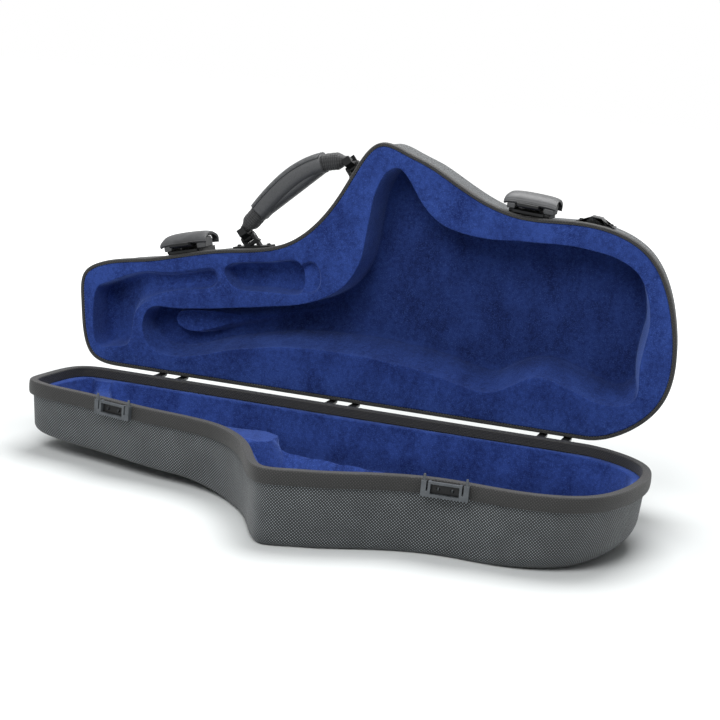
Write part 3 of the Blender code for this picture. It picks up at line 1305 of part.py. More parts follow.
def strap_loop():
    """A short webbing bridge that follows the lid wall, held at each foot by a rivet."""
    seat = Seat(STRAP_SHARE, STRAP_LENGTH / 2)
    wall = seat.matrix(LID_BASE + STRAP_LEVEL)
    half, foot = STRAP_LENGTH / 2, STRAP_FOOT
    back = lid_wall(STRAP_LEVEL - STRAP_WIDTH / 2) - CLEARANCE
    ramp = foot + STRAP_RISE
    places = ((-half, 0), (foot - half, 0), (ramp - half, STRAP_RISE), (half - ramp, STRAP_RISE),
              (half - foot, 0), (half, 0))
    under = [(x, back + seat.fall(x) - rise) for x, rise in places]
    over = [(x, y - STRAP_THICKNESS) for x, y in reversed(under)]
    rings = [[(x, y, z) for x, y in [*under, *over]] for z in (-STRAP_WIDTH / 2, STRAP_WIDTH / 2)]
    item = new_object("strap_loop", finish_mesh("strap_loop", skin(rings, True, True)), WEBBING)
    item.matrix_world = wall
    carry(item, "lid_frame")
    for label, sign in (("a", -1), ("b", 1)):
        x = sign * (half - foot / 2)
        slope_down = seat.fall(x + sign * foot / 2) - seat.fall(x - sign * foot / 2)
        outwards = Vector((sign * slope_down, -foot, 0)).normalized()
        surface = Vector((x, back + seat.fall(x) - STRAP_THICKNESS, 0))
        head = rivet(f"strap_loop_rivet_{label}", surface + outwards * (RIVET_ROOT + CLEARANCE), outwards,
                     RIVET_RADIUS, RIVET_HEIGHT, BRIGHT_STEEL)
        head.matrix_world = wall
        carry(head, "lid_frame")


def main():
    """Builds the case closed, then opens the lid and lets the claws hang clear."""
    clear_scene()
    add_frame("lid_frame", Matrix.Translation((0, HINGE_Y, HINGE_Z)))
    base_shell()
    base_rim()
    base_lining()
    lid_shell()
    lid_rim()
    lid_lining()
    for side, share in zip(("left", "middle", "right"), HINGE_SHARES):
        hinge(side, share)
    for side, share in zip(("left", "right"), LATCH_SHARES):
        latch(side, share)
    handle()
    strap_loop()
    for side in ("left", "right"):
        claw = bpy.data.objects[f"latch_{side}_claw_frame"]
        claw.matrix_world = FRAMES[claw.name] @ Matrix.Rotation(-CLAW_SWING, 4, "X")
    lid = bpy.data.objects["lid_frame"]
    lid.matrix_world = FRAMES["lid_frame"] @ Matrix.Rotation(-OPEN_ANGLE, 4, "X")
    bpy.context.view_layer.update()


main()
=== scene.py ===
"""Alto saxophone case, standing open: its surfaces and finishes over the fixed frame.

The base lies flat and the lid stands open behind it. X runs from the neck end to the bow end, -Y
is the handle side and Z is up. Lengths are in metres unless a name ends in _mm. The pieces of the
lid are worked out as if the lid were shut, and are then turned up about the hinge axis with it.
"""

import json
import logging
import math
from collections.abc import Callable, Iterable, Iterator
from contextlib import contextmanager
from dataclasses import dataclass, field
from enum import Enum

import bmesh
import bpy
import numpy as np
from mathutils import Matrix, Vector, noise
from mathutils.geometry import delaunay_2d_cdt


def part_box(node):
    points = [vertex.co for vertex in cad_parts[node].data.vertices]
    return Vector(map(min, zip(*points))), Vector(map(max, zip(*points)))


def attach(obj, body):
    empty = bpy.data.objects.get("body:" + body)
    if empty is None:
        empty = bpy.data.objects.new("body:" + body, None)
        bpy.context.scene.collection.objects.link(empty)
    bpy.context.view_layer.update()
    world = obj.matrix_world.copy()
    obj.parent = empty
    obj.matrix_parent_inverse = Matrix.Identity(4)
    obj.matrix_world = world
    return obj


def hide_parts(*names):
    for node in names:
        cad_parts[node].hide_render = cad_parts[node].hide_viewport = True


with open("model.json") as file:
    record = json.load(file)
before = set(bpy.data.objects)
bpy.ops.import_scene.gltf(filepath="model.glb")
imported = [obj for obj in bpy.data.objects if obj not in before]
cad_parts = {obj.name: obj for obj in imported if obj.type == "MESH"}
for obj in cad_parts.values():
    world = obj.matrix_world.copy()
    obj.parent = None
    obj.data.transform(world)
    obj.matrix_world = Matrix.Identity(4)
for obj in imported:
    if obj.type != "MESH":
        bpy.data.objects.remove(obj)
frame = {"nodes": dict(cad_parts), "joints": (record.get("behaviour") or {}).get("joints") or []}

Array = np.ndarray
Item = bpy.types.Object
Socket = bpy.types.NodeSocket
LOG = logging.getLogger("saxophone_case")
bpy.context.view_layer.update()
CLOTH_UV = "cloth"
SIDES = ("left", "right")
UPWARDS = Vector((0, 0, 1))
SHARP = math.radians(38)
FLAT = math.radians(1.5)
QUARTER = np.linspace(0, math.pi / 2, 5)
WELD = 2e-6
SHEET_WELD = 2e-5
SAME_PLACE = 0.0003
ROWS_AT_ONCE = 1500


# Plan geometry

@dataclass(frozen=True)
class CaseSize:
    """Sizes that the shells, rims, linings and fittings share."""

    length: float = 0.650
    width: float = 0.275
    base_height: float = 0.075
    lid_height: float = 0.070
    open_angle: float = math.radians(91)
    hinge_offset: float = 0.0065
    hinge_drop: float = 0.00575
    clearance: float = 0.0003
    lining_clearance: float = 0.0004
    seam: float = 0.0004
    steps: int = 20
    rear_steps: int = 60
    outline_shares: tuple = (
        (0.085, 1.000), (0.027, 0.967), (0.003, 0.767), (0.007, 0.636), (0.064, 0.575),
        (0.127, 0.549), (0.241, 0.484), (0.357, 0.425), (0.427, 0.269), (0.463, 0.113),
        (0.501, 0.004), (0.549, 0.029), (0.589, 0.065), (0.663, 0.156), (0.747, 0.211),
        (0.841, 0.207), (0.943, 0.291), (0.994, 0.538), (0.997, 0.771), (0.960, 0.913),
        (0.875, 1.000),
    )

    def plan(self, shares: tuple) -> Array:
        """Plan points about the middle of the outline.

        Args:
            shares: places as shares of the length and the width.

        Returns:
            The same places in metres, one row each.
        """
        return (np.asarray(shares, float) - 0.5) * np.array([self.length, self.width])

    def share(self, x: Array) -> Array:
        """Places along the case as shares of its length."""
        return x / self.length + 0.5

    def outline(self) -> Array:
        """The rim's outline, counterclockwise from above, closed by the straight rear edge."""
        leftwards = (-1.0, 0.0)
        curve = spline(self.plan(self.outline_shares), self.steps, leftwards, leftwards)
        along = np.linspace(0, 1, self.rear_steps + 1)[1:-1, None]
        return np.concatenate([curve, curve[-1] + (curve[0] - curve[-1]) * along])

    def ring(self, shares: tuple, steps: int, pitch: float) -> Array:
        """A smooth closed outline through plan places.

        Args:
            shares: places as shares of the length and the width.
            steps: pieces of the curve between one place and the next.
            pitch: distance between the outline's points.

        Returns:
            The outline's points, counterclockwise.
        """
        ring = spline(self.plan(shares), steps)
        if np.cross(ring, np.roll(ring, -1, axis=0)).sum() < 0:
            ring = ring[::-1]
        return evenly(ring, pitch)

    @property
    def lid_base(self) -> float:
        """Height of the shut lid's edge."""
        return self.base_height + self.seam

    def lid_turn(self) -> Matrix:
        """The turn that takes the shut lid to its open rest."""
        hinge = (0, self.width / 2 + self.hinge_offset, self.base_height - self.hinge_drop)
        there = Matrix.Translation(hinge)
        return there @ Matrix.Rotation(-self.open_angle, 4, "X") @ there.inverted()


def spline(points: Array, steps: int, start: tuple | None = None,
           end: tuple | None = None) -> Array:
    """A smooth curve through points: cubic pieces whose slopes match, on root-chord knots.

    Args:
        points: places that the curve passes through.
        steps: pieces between one place and the next.
        start: direction at the first place of an open curve, or None for a closed one.
        end: direction at its last place.

    Returns:
        The curve's points; a closed curve doesn't repeat its first.
    """
    points = np.asarray(points, float)
    count, closed = len(points), start is None
    index = np.arange(count)
    after = np.sqrt(np.linalg.norm(np.roll(points, -1, axis=0) - points, axis=1))
    before = np.roll(after, 1)
    system = np.zeros((count, count))
    system[index, index - 1] += after
    system[index, index] += 2 * (before + after)
    system[index, (index + 1) % count] += before
    values = 3 * ((after / before)[:, None] * (points - np.roll(points, 1, axis=0))
                  + (before / after)[:, None] * (np.roll(points, -1, axis=0) - points))
    if not closed:
        for row, direction in ((0, start), (count - 1, end)):
            system[row] = 0
            system[row, row] = 1
            values[row] = np.asarray(direction, float) * after[min(row, count - 2)]
    slopes = np.linalg.solve(system, values)
    last = count if closed else count - 1
    t = (np.arange(steps) / steps)[None, :, None]
    run = after[:last, None, None]
    first, second = points[:last, None], np.roll(points, -1, axis=0)[:last, None]
    leave, reach = slopes[:last, None], np.roll(slopes, -1, axis=0)[:last, None]
    curve = ((2 * t**3 - 3 * t**2 + 1) * first + (t**3 - 2 * t**2 + t) * run * leave
             + (3 * t**2 - 2 * t**3) * second + (t**3 - t**2) * run * reach)
    curve = curve.reshape(-1, points.shape[1])
    return curve if closed else np.concatenate([curve, points[-1:]])


def travelled(points: Array) -> Array:
    """Length along a line of points, from its first."""
    return np.concatenate([[0], np.cumsum(np.linalg.norm(np.diff(points, axis=0), axis=1))])


def evenly(ring: Array, pitch: float) -> Array:
    """A closed ring laid out again with its points about one pitch apart."""
    closed = np.concatenate([ring, ring[:1]])
    lengths = travelled(closed)
    places = np.linspace(0, lengths[-1], int(lengths[-1] / pitch) + 1)[:-1]
    return np.column_stack([np.interp(places, lengths, closed[:, axis]) for axis in (0, 1)])


def outward(ring: Array) -> Array:
    """Unit normals of a counterclockwise plan ring, pointing out of it."""
    along = np.roll(ring, -1, axis=0) - np.roll(ring, 1, axis=0)
    along /= np.linalg.norm(along, axis=1)[:, None]
    return np.column_stack([along[:, 1], -along[:, 0]])


def ease(value: Array) -> Array:
    """A step from 0 to 1 with level ends: 3t^2 - 2t^3 of the clipped value."""
    value = np.clip(value, 0, 1)
    return value * value * (3 - 2 * value)


def side_distances(points: Array, ring: Array) -> Array:
    """Distance of every plan point from every side of a closed ring, one row for each point."""
    side = np.roll(ring, -1, axis=0) - ring
    off = points[:, None] - ring[None]
    share = np.clip((off * side).sum(2) / (side * side).sum(1), 0, 1)
    gap = off - share[..., None] * side
    return np.sqrt((gap * gap).sum(2))


def inside_distance(points: Array, ring: Array) -> Array:
    """Distance of plan points from a closed ring's sides, positive inside it.

    Args:
        points: plan points, one row each.
        ring: the ring's corners.

    Returns:
        One distance for each point; the sign comes from the sides that a ray along X crosses.
    """
    start, end = ring, np.roll(ring, -1, axis=0)
    side = end - start
    found = []
    for part in np.array_split(points, len(points) // ROWS_AT_ONCE + 1):
        distance = side_distances(part, ring).min(axis=1)
        x, y = part[:, :1], part[:, 1:]
        crosses = (start[:, 1] > y) != (end[:, 1] > y)
        rise = np.where(side[:, 1] == 0, 1e-12, side[:, 1])
        crosses &= x < side[:, 0] * (y - start[:, 1]) / rise + start[:, 0]
        found.append(np.where(crosses.sum(1) % 2 == 1, distance, -distance))
    return np.concatenate(found)


def offset_rings(ring: Array, offsets: Iterable[Array]) -> list:
    """Rings moved inwards.

    Args:
        ring: a counterclockwise ring.
        offsets: for each new ring, how far each point moves.

    Returns:
        The rings, with NaN where a point has come nearer to another side than to its own.
    """
    normals, made = outward(ring), []
    for offset in offsets:
        moved = ring - normals * offset[:, None]
        near = np.abs(inside_distance(moved, ring) - offset) < SAME_PLACE
        made.append(np.where(near[:, None], moved, np.nan))
    return made


def soft_noise(points: Array, scale: float, seed: float) -> Array:
    """Smooth unevenness between about -1 and 1, with lumps about as wide as scale."""
    return np.array([noise.noise(Vector((x / scale, y / scale, seed))) for x, y in points[:, :2]])


SIZE = CaseSize()
OUTLINE = SIZE.outline()
NORMALS = outward(OUTLINE)
LID_TURN = SIZE.lid_turn()


def between(x: Array, shares: tuple, start: float, end: float) -> Array:
    """A value that eases from start to end between two places along the case."""
    return start + (end - start) * ease((SIZE.share(x) - shares[0]) / (shares[1] - shares[0]))


def within(points: Array, along: tuple, across: tuple, soft: float = 0.012) -> Array:
    """1 inside a plan rectangle given in shares of the case's size, easing to 0 at its edges."""
    total = np.ones(len(points))
    for axis, (low, high), size in ((0, along, SIZE.length), (1, across, SIZE.width)):
        share = points[:, axis] / size + 0.5
        total = total * ease((share - low) / soft) * ease((high - share) / soft)
    return total


# Meshes

@contextmanager
def edited(data: bpy.types.Mesh) -> Iterator[bmesh.types.BMesh]:
    """Opens a mesh for editing and writes it back."""
    mesh = bmesh.new()
    mesh.from_mesh(data)
    yield mesh
    mesh.to_mesh(data)
    mesh.free()


def link(name: str, data: bpy.types.Mesh) -> Item:
    """A smooth-shaded object for a mesh, sharp only along real edges."""
    data.shade_smooth()
    data.set_sharp_from_angle(angle=SHARP)
    item = bpy.data.objects.new(name, data)
    bpy.context.scene.collection.objects.link(item)
    return item


@dataclass
class Surface:
    """Gathers grids and triangles into one mesh with its own texture coordinates."""

    name: str
    points: list = field(default_factory=list)
    faces: list = field(default_factory=list)
    places: list = field(default_factory=list)
    count: int = 0

    def grid(self, points: Array, places: Array | None = None, flip: bool = False) -> None:
        """Adds a grid of quads.

        Args:
            points: (rows, columns, 3); a closed direction repeats its first row or column.
            places: (rows, columns, 2) texture coordinates in metres, or None.
            flip: turns the faces over.
        """
        rows, columns = points.shape[:2]
        index = np.arange(rows * columns).reshape(rows, columns)
        quads = np.stack([index[:-1, :-1], index[1:, :-1], index[1:, 1:], index[:-1, 1:]], -1)
        quads = quads.reshape(-1, 4)
        self.add(points.reshape(-1, 3), quads[:, ::-1] if flip else quads,
                 None if places is None else places.reshape(-1, 2))

    def add(self, points: Array, faces: Array, places: Array | None = None) -> None:
        """Adds faces of one size, given by their corners' numbers among points."""
        places = np.zeros((len(points), 2)) if places is None else places
        self.points.append(points)
        self.faces.append(faces + self.count)
        self.places.append(places[faces].reshape(-1, 2))
        self.count += len(points)

    def make(self, turn: Matrix | None = None, weld: float = WELD, outwards: bool = True) -> Item:
        """Builds the object: welded, smooth, with its place in its mesh.

        Args:
            turn: takes the points from the frame they were worked out in to the scene's.
            weld: points nearer than this become one.
            outwards: recalculates the faces of a closed mesh to point out.

        Returns:
            The linked object.
        """
        data = bpy.data.meshes.new(self.name)
        faces = [face for block in self.faces for face in block.tolist()]
        data.from_pydata(np.concatenate(self.points).tolist(), [], faces)
        layer = data.uv_layers.new(name=CLOTH_UV)
        layer.data.foreach_set("uv", np.concatenate(self.places).astype(np.float32).ravel())
        with edited(data) as mesh:
            bmesh.ops.remove_doubles(mesh, verts=mesh.verts, dist=weld)
            bmesh.ops.dissolve_degenerate(mesh, edges=mesh.edges, dist=weld / 4)
            if outwards:
                bmesh.ops.recalc_face_normals(mesh, faces=mesh.faces)
            if turn is not None:
                bmesh.ops.transform(mesh, matrix=turn, verts=mesh.verts)
        return link(self.name, data)

    def sheet(self, side: Vector, turn: Matrix | None = None, weld: float = WELD) -> Item:
        """Builds an open surface that faces one side on the whole.

        Args:
            side: the side that it faces, in the frame it was worked out in.
            turn: takes that frame to the scene's.
            weld: points nearer than this become one.

        Returns:
            The linked object.
        """
        item = self.make(turn, weld, outwards=False)
        total = Vector((0, 0, 0))
        for face in item.data.polygons:
            total += face.normal * face.area
        if total.dot(side if turn is None else turn.to_3x3() @ side) < 0:
            item.data.flip_normals()
        return item


def modify(item: Item, kind: str, **settings: object) -> None:
    """Adds a modifier with its settings."""
    modifier = item.modifiers.new(kind.lower(), kind)
    for key, value in settings.items():
        setattr(modifier, key, value)


def wall(item: Item, thickness: float) -> None:
    """Gives a surface a wall on the side away from its faces."""
    modify(item, "SOLIDIFY", thickness=thickness, offset=-1.0, use_even_offset=False)


def rounded(item: Item, width: float, segments: int = 2) -> None:
    """Rounds sharp edges."""
    modify(item, "BEVEL", width=width, segments=segments, limit_method="ANGLE",
           angle_limit=SHARP, use_clamp_overlap=True, harden_normals=True)


def applied(item: Item) -> None:
    """Fixes a piece's modifiers into its mesh."""
    bpy.context.view_layer.update()
    graph = bpy.context.evaluated_depsgraph_get()
    data = bpy.data.meshes.new_from_object(item.evaluated_get(graph))
    item.modifiers.clear()
    item.data = data


def joined(item: Item, tools: list, operation: str) -> None:
    """Joins tools onto a piece, or cuts them out of it, and removes them."""
    for tool in tools:
        modify(item, "BOOLEAN", operation=operation, object=tool, solver="EXACT")
    applied(item)
    for tool in tools:
        bpy.data.objects.remove(tool)


def rod(name: str, radius: float, start: tuple, end: tuple, turn: Matrix) -> Item:
    """A round bar between two points of a frame."""
    start, end = Vector(start), Vector(end)
    lie = (end - start).to_track_quat("Z", "Y").to_matrix().to_4x4()
    data = bpy.data.meshes.new(name)
    with edited(data) as mesh:
        bmesh.ops.create_cone(mesh, cap_ends=True, segments=48, radius1=radius, radius2=radius,
                              depth=(end - start).length)
        bmesh.ops.transform(mesh, matrix=turn @ Matrix.Translation((start + end) / 2) @ lie,
                            verts=mesh.verts)
    return link(name, data)


def prism(name: str, outline: Array, start: float, end: float, turn: Matrix) -> Item:
    """A flat (y, z) outline pushed along a frame's X from start to end."""
    data = bpy.data.meshes.new(name)
    with edited(data) as mesh:
        near, far = ([mesh.verts.new((x, y, z)) for y, z in outline] for x in (start, end))
        for index, after in enumerate([*range(1, len(outline)), 0]):
            mesh.faces.new((near[index], far[index], far[after], near[after]))
        mesh.faces.new(near)
        mesh.faces.new(far[::-1])
        bmesh.ops.recalc_face_normals(mesh, faces=mesh.faces)
        bmesh.ops.transform(mesh, matrix=turn, verts=mesh.verts)
    return link(name, data)


def merged(node: str, name: str) -> bpy.types.Mesh:
    """A copy of a node's mesh with its doubled points and flat faces merged."""
    data = frame["nodes"][node].data.copy()
    data.name = name
    with edited(data) as mesh:
        bmesh.ops.remove_doubles(mesh, verts=mesh.verts, dist=1e-5)
        bmesh.ops.dissolve_limit(mesh, angle_limit=FLAT, verts=mesh.verts, edges=mesh.edges)
    return data


def triangles(boundary: Array, spacing: float, lines: Iterable[Array] = (),
              keep: Callable[[Array], Array] | None = None) -> tuple[Array, Array]:
    """Delaunay triangles over a plan outline, from an even triangular grid and given lines.

    Args:
        boundary: the outline's points.
        spacing: distance between the grid's points.
        lines: closed lines that the triangles' edges follow; a row of NaN breaks a line.
        keep: says which of the grid's points are wanted.

    Returns:
        Plan points, and the corner numbers of each triangle.
    """
    low, high = boundary.min(axis=0), boundary.max(axis=0)
    xs, ys = np.meshgrid(np.arange(low[0], high[0], spacing),
                         np.arange(low[1], high[1], spacing * math.sqrt(3) / 2))
    xs = xs + (np.arange(len(xs)) % 2)[:, None] * spacing / 2
    cells = np.column_stack([xs.ravel(), ys.ravel()])
    if keep is not None:
        cells = cells[keep(cells)]
    cells = cells[inside_distance(cells, boundary) > spacing * 0.4]
    chosen, edges = [boundary, cells], []
    count = len(boundary) + len(cells)
    for line in lines:
        kept = np.isfinite(line[:, 0])
        kept[kept] = inside_distance(line[kept], boundary) > SHEET_WELD
        index = np.cumsum(kept) - 1 + count
        follows = kept & np.roll(kept, -1)
        edges += np.column_stack([index[follows], np.roll(index, -1)[follows]]).tolist()
        chosen.append(line[kept])
        count += int(kept.sum())
    points = [Vector(point) for point in np.concatenate(chosen)]
    made = delaunay_2d_cdt(points, edges, [list(range(len(boundary)))], 1, 1e-6)
    return np.array([tuple(point) for point in made[0]]), np.array(made[2])


# Finishes

def linear(code: str) -> tuple[float, float, float, float]:
    """An sRGB hex colour as linear values: c/12.92 to 0.04045, then ((c + 0.055)/1.055)^2.4."""
    parts = [int(code[place:place + 2], 16) / 255 for place in (1, 3, 5)]
    return (*(part / 12.92 if part <= 0.04045 else ((part + 0.055) / 1.055) ** 2.4
              for part in parts), 1.0)


@dataclass(frozen=True)
class Painter:
    """A node tree, its shader, and the patterns that the finishes share."""

    tree: bpy.types.NodeTree
    shader: bpy.types.Node

    def feed(self, node: bpy.types.Node, inputs: dict) -> None:
        """Sets a node's inputs, by name or number, to values or links sockets to them."""
        for key, value in inputs.items():
            if isinstance(value, Socket):
                self.tree.links.new(value, node.inputs[key])
            else:
                node.inputs[key].default_value = value

    def add(self, kind: str, inputs: dict | None = None, out: int | str = 0,
            **settings: object) -> Socket:
        """Adds a node.

        Args:
            kind: the node's type, without its ShaderNode prefix.
            inputs: a value or a source socket for each input's name or number.
            out: the output that is wanted.
            **settings: the node's own properties.

        Returns:
            That output.
        """
        made = self.tree.nodes.new(f"ShaderNode{kind}")
        for key, value in settings.items():
            setattr(made, key, value)
        self.feed(made, inputs or {})
        return made.outputs[out]

    def place(self) -> Socket:
        """Object coordinates in millimetres."""
        source = self.add("TexCoord", out="Object")
        return self.add("VectorMath", {0: source, "Scale": 1000.0}, operation="SCALE")

    def laid(self) -> Socket:
        """The piece's own texture coordinates, in metres."""
        return self.add("UVMap", uv_map=CLOTH_UV)

    def spread(self, place: Socket, size_mm: float, detail: float = 2.0) -> Socket:
        """Cloudy noise whose lumps are about size_mm wide."""
        return self.add("TexNoise", {"Vector": place, "Scale": 1 / size_mm, "Detail": detail,
                                     "Roughness": 0.55})

    def blend(self, factor: Socket, low: str, high: str, start: float, end: float) -> Socket:
        """A colour between low and high as factor goes from start to end."""
        colour = self.add("ValToRGB", {0: factor})
        stops = colour.node.color_ramp.elements
        for stop, code, place in zip(stops, (low, high), (start, end)):
            stop.color, stop.position = linear(code), place
        return colour

    def finish(self, colour: Socket, height: Socket, depth_mm: float, strength: float,
               **inputs: object) -> None:
        """Connects a finish to the shader.

        Args:
            colour: the base colour.
            height: a pattern that stands up from the surface.
            depth_mm: how far it stands up.
            strength: share of that height that is shown.
            **inputs: the shader's other inputs, with _ for a space in their names.
        """
        bump = self.add("Bump", {"Height": height, "Strength": strength,
                                 "Distance": depth_mm / 1000})
        named = {key.replace("_", " "): value for key, value in inputs.items()}
        self.feed(self.shader, {"Base Color": colour, "Normal": bump, **named})


class Slot(Enum):
    """The record's material slots."""

    CLOTH = "woven_cloth"
    BAND = "rim_band"
    PLUSH = "blue_plush"
    GREY = "grey_plastic"
    BLACK = "black_plastic"
    STEEL = "black_steel"
    ZINC = "bright_steel"
    LEATHER = "grip_leather"
    WEBBING = "webbing"


@dataclass(frozen=True)
class Finish:
    """What every finish shares: a name, a slot and a way to build its material."""

    name: str
    slot: Slot

    def paint(self, on: Painter) -> None:
        """Connects the finish's pattern to the shader."""
        raise NotImplementedError

    def material(self) -> bpy.types.Material:
        """The finish as a material, built once."""
        made = bpy.data.materials.get(self.name)
        if made is None:
            made = bpy.data.materials.new(self.name)
            made.use_nodes = True
            self.paint(Painter(made.node_tree, made.node_tree.nodes["Principled BSDF"]))
        return made


@dataclass(frozen=True)
class WovenCloth(Finish):
    """Ballistic polyester, woven in grey and black threads and bonded to the moulded board.

    Each grey float shows as a light dot between black ones, in rows that step like a chequer. Real
    threads are 0.7 mm apart; they are drawn 1.5 mm apart so that they show.
    """

    thread_mm: float = 1.5
    grey: str = "#a9b2b7"
    worn: str = "#939ba0"
    black: str = "#111315"
    groove: str = "#07080a"

    def paint(self, on: Painter) -> None:
        """Grey and black floats with rounded tops over dark grooves."""
        cells = on.add("VectorMath", {0: on.laid(), "Scale": 1000 / self.thread_mm},
                       operation="SCALE")
        drift = on.add("TexNoise", {"Vector": cells, "Scale": 0.07, "Detail": 1.0}, out=1)
        cells = on.add("VectorMath", {0: drift, 1: (1.3, 1.3, 0.0), 2: cells},
                       operation="MULTIPLY_ADD")
        split = on.add("SeparateXYZ", {0: cells}).node
        domes, floors = [], []
        for axis in (0, 1):
            part = on.add("Math", {0: split.outputs[axis]}, operation="FRACT")
            turn = on.add("Math", {0: part, 1: math.pi}, operation="MULTIPLY")
            domes.append(on.add("Math", {0: turn}, operation="SINE"))
            floors.append(on.add("Math", {0: split.outputs[axis]}, operation="FLOOR"))
        total = on.add("Math", {0: floors[0], 1: floors[1]}, operation="ADD")
        over = on.add("Math", {0: total, 1: 2.0}, operation="FLOORED_MODULO")
        dome = on.add("Math", {0: domes[0], 1: domes[1]}, operation="MULTIPLY")
        height = on.add("Math", {0: dome, 1: 0.6}, operation="POWER")
        crown = on.add("Math", {0: dome, 1: 1.6}, operation="POWER")
        worn = on.blend(on.spread(on.place(), 26.0, 3.0), self.worn, self.grey, 0.35, 0.65)
        thread = on.add("Mix", {0: over, 6: linear(self.black), 7: worn}, 2, data_type="RGBA")
        colour = on.add("Mix", {0: crown, 6: linear(self.groove), 7: thread}, 2, data_type="RGBA")
        on.finish(colour, height, 0.35, 0.8, Roughness=0.62, Sheen_Weight=0.12,
                  Sheen_Roughness=0.5)


@dataclass(frozen=True)
class Plush(Finish):
    """Short-pile polyester plush over moulded foam: deep blue, paler where the pile lies over.

    The pile is 1.5 mm long, so brushed patches 5 to 30 mm wide catch the light, and single tufts
    show as a fine grain. Down in the recesses the colour is darkened as painted shade, more where
    the place falls further; the texture coordinates hold each place's length along the case and its
    fall below the lining's face.
    """

    deep: str = "#182860"
    mid: str = "#2f478e"
    pale: str = "#5373c6"
    sheen: str = "#7d9ae6"
    # Painted shade in the recesses: the share of the colour kept at the deepest, and the falls
    # where the darkening starts and ends.
    painted_shade: float = 0.62
    painted_shade_from: float = 0.022
    painted_shade_to: float = 0.048

    def paint(self, on: Painter) -> None:
        """Brushed patches, small mottling and tufts, with painted shade in the recesses, under a
        velvet sheen.
        """
        place = on.place()
        stretched = on.add("Mapping", {0: place, 3: (1.0, 0.55, 0.55)})
        mixed = on.add("Mix", {0: 0.42, 2: on.spread(stretched, 24.0, 3.0),
                               3: on.spread(place, 4.0, 3.0)})
        lit = on.blend(mixed, self.deep, self.mid, 0.36, 0.62)
        tufts = on.spread(place, 0.9)
        tip = on.add("MapRange", {0: tufts, 1: 0.52, 2: 0.74, 3: 0.0, 4: 0.5})
        colour = on.add("Mix", {0: tip, 6: lit, 7: linear(self.pale)}, 2, data_type="RGBA")
        # Painted shade: the colour darkens in the deep recesses as the fall below the lining's face
        # grows.
        fall = on.add("SeparateXYZ", {0: on.laid()}, 1)
        painted_shade = on.add("MapRange", {0: fall, 1: self.painted_shade_from, 2: self.painted_shade_to,
                                      3: 1.0, 4: self.painted_shade})
        colour = on.add("VectorMath", {0: colour, "Scale": painted_shade}, operation="SCALE")
        on.finish(colour, tufts, 0.5, 0.7, Roughness=0.95, Specular_IOR_Level=0.15,
                  Sheen_Weight=0.55, Sheen_Roughness=0.42, Sheen_Tint=linear(self.sheen))


@dataclass(frozen=True)
class MouldedPlastic(Finish):
    """Injection-moulded nylon with a satin spark-eroded texture, as on case hardware."""

    dark: str = "#3b3c3e"
    light: str = "#4a4b4d"
    rough: float = 0.42
    shine: float = 0.42

    def paint(self, on: Painter) -> None:
        """One colour with slight clouding, fine grain and patches that handling polished."""
        place = on.place()
        colour = on.blend(on.spread(place, 9.0, 3.0), self.dark, self.light, 0.35, 0.65)
        rough = on.add("MapRange", {0: on.spread(place, 5.0, 3.0), 3: self.rough - 0.07,
                                    4: self.rough + 0.09})
        on.finish(colour, on.spread(place, 0.5), 0.03, 0.5, Roughness=rough,
                  Specular_IOR_Level=self.shine)


@dataclass(frozen=True)
class SheetSteel(Finish):
    """Pressed sheet steel, painted or zinc plated, with faint rolling marks along X."""

    dark: str = "#141516"
    light: str = "#232426"
    metallic: float = 0.0
    rough: float = 0.38

    def paint(self, on: Painter) -> None:
        """A coat over drawn-out marks."""
        place = on.place()
        marks = on.spread(on.add("Mapping", {0: place, 3: (0.12, 1.0, 1.0)}), 0.5, 3.0)
        colour = on.blend(on.spread(place, 5.0, 3.0), self.dark, self.light, 0.3, 0.7)
        rough = on.add("MapRange", {0: marks, 3: self.rough - 0.08, 4: self.rough + 0.1})
        on.finish(colour, marks, 0.02, 0.5, Roughness=rough, Metallic=self.metallic)


@dataclass(frozen=True)
class GripLeather(Finish):
    """Coated split leather: dark grey, pebbled, a little glossy on the pebbles."""

    dark: str = "#2a2b2d"
    light: str = "#47494b"
    pebble_mm: float = 1.7
    depth_mm: float = 0.22

    def paint(self, on: Painter) -> None:
        """Round pebbles with dark creases between them."""
        place = on.place()
        cells = on.add("TexVoronoi", {"Vector": place, "Scale": 1 / self.pebble_mm},
                       feature="SMOOTH_F1")
        pebble = on.add("MapRange", {0: cells, 1: 0.15, 2: 0.75, 3: 1.0, 4: 0.0})
        colour = on.blend(pebble, self.dark, self.light, 0.05, 0.8)
        rough = on.add("MapRange", {0: on.spread(place, 7.0, 3.0), 3: 0.40, 4: 0.60})
        on.finish(colour, pebble, self.depth_mm, 0.8, Roughness=rough)


@dataclass(frozen=True)
class RibbedWebbing(Finish):
    """Black nylon webbing: cross ribs 2.4 mm apart, each a row of floats, with a dull sheen."""

    rib_mm: float = 2.4
    float_share: float = 0.7
    dark: str = "#08090a"
    light: str = "#343537"

    def paint(self, on: Painter) -> None:
        """Ribs across the webbing, broken into floats by its own length and width coordinates."""
        along, across = 1000 / self.rib_mm, 1000 * self.float_share / self.rib_mm
        cells = on.add("VectorMath", {0: on.laid(), 1: (along, across, 0)}, operation="MULTIPLY")
        split = on.add("SeparateXYZ", {0: cells}).node
        waves = []
        for axis in (0, 1):
            turn = on.add("Math", {0: split.outputs[axis], 1: math.pi}, operation="MULTIPLY")
            wave = on.add("Math", {0: turn}, operation="SINE")
            waves.append(on.add("Math", {0: wave}, operation="ABSOLUTE"))
        soft = on.add("MapRange", {0: waves[1], 3: 0.55, 4: 1.0})
        height = on.add("Math", {0: waves[0], 1: soft}, operation="MULTIPLY")
        colour = on.blend(height, self.dark, self.light, 0.1, 0.95)
        on.finish(colour, height, 0.5, 0.9, Roughness=0.72, Sheen_Weight=0.25)


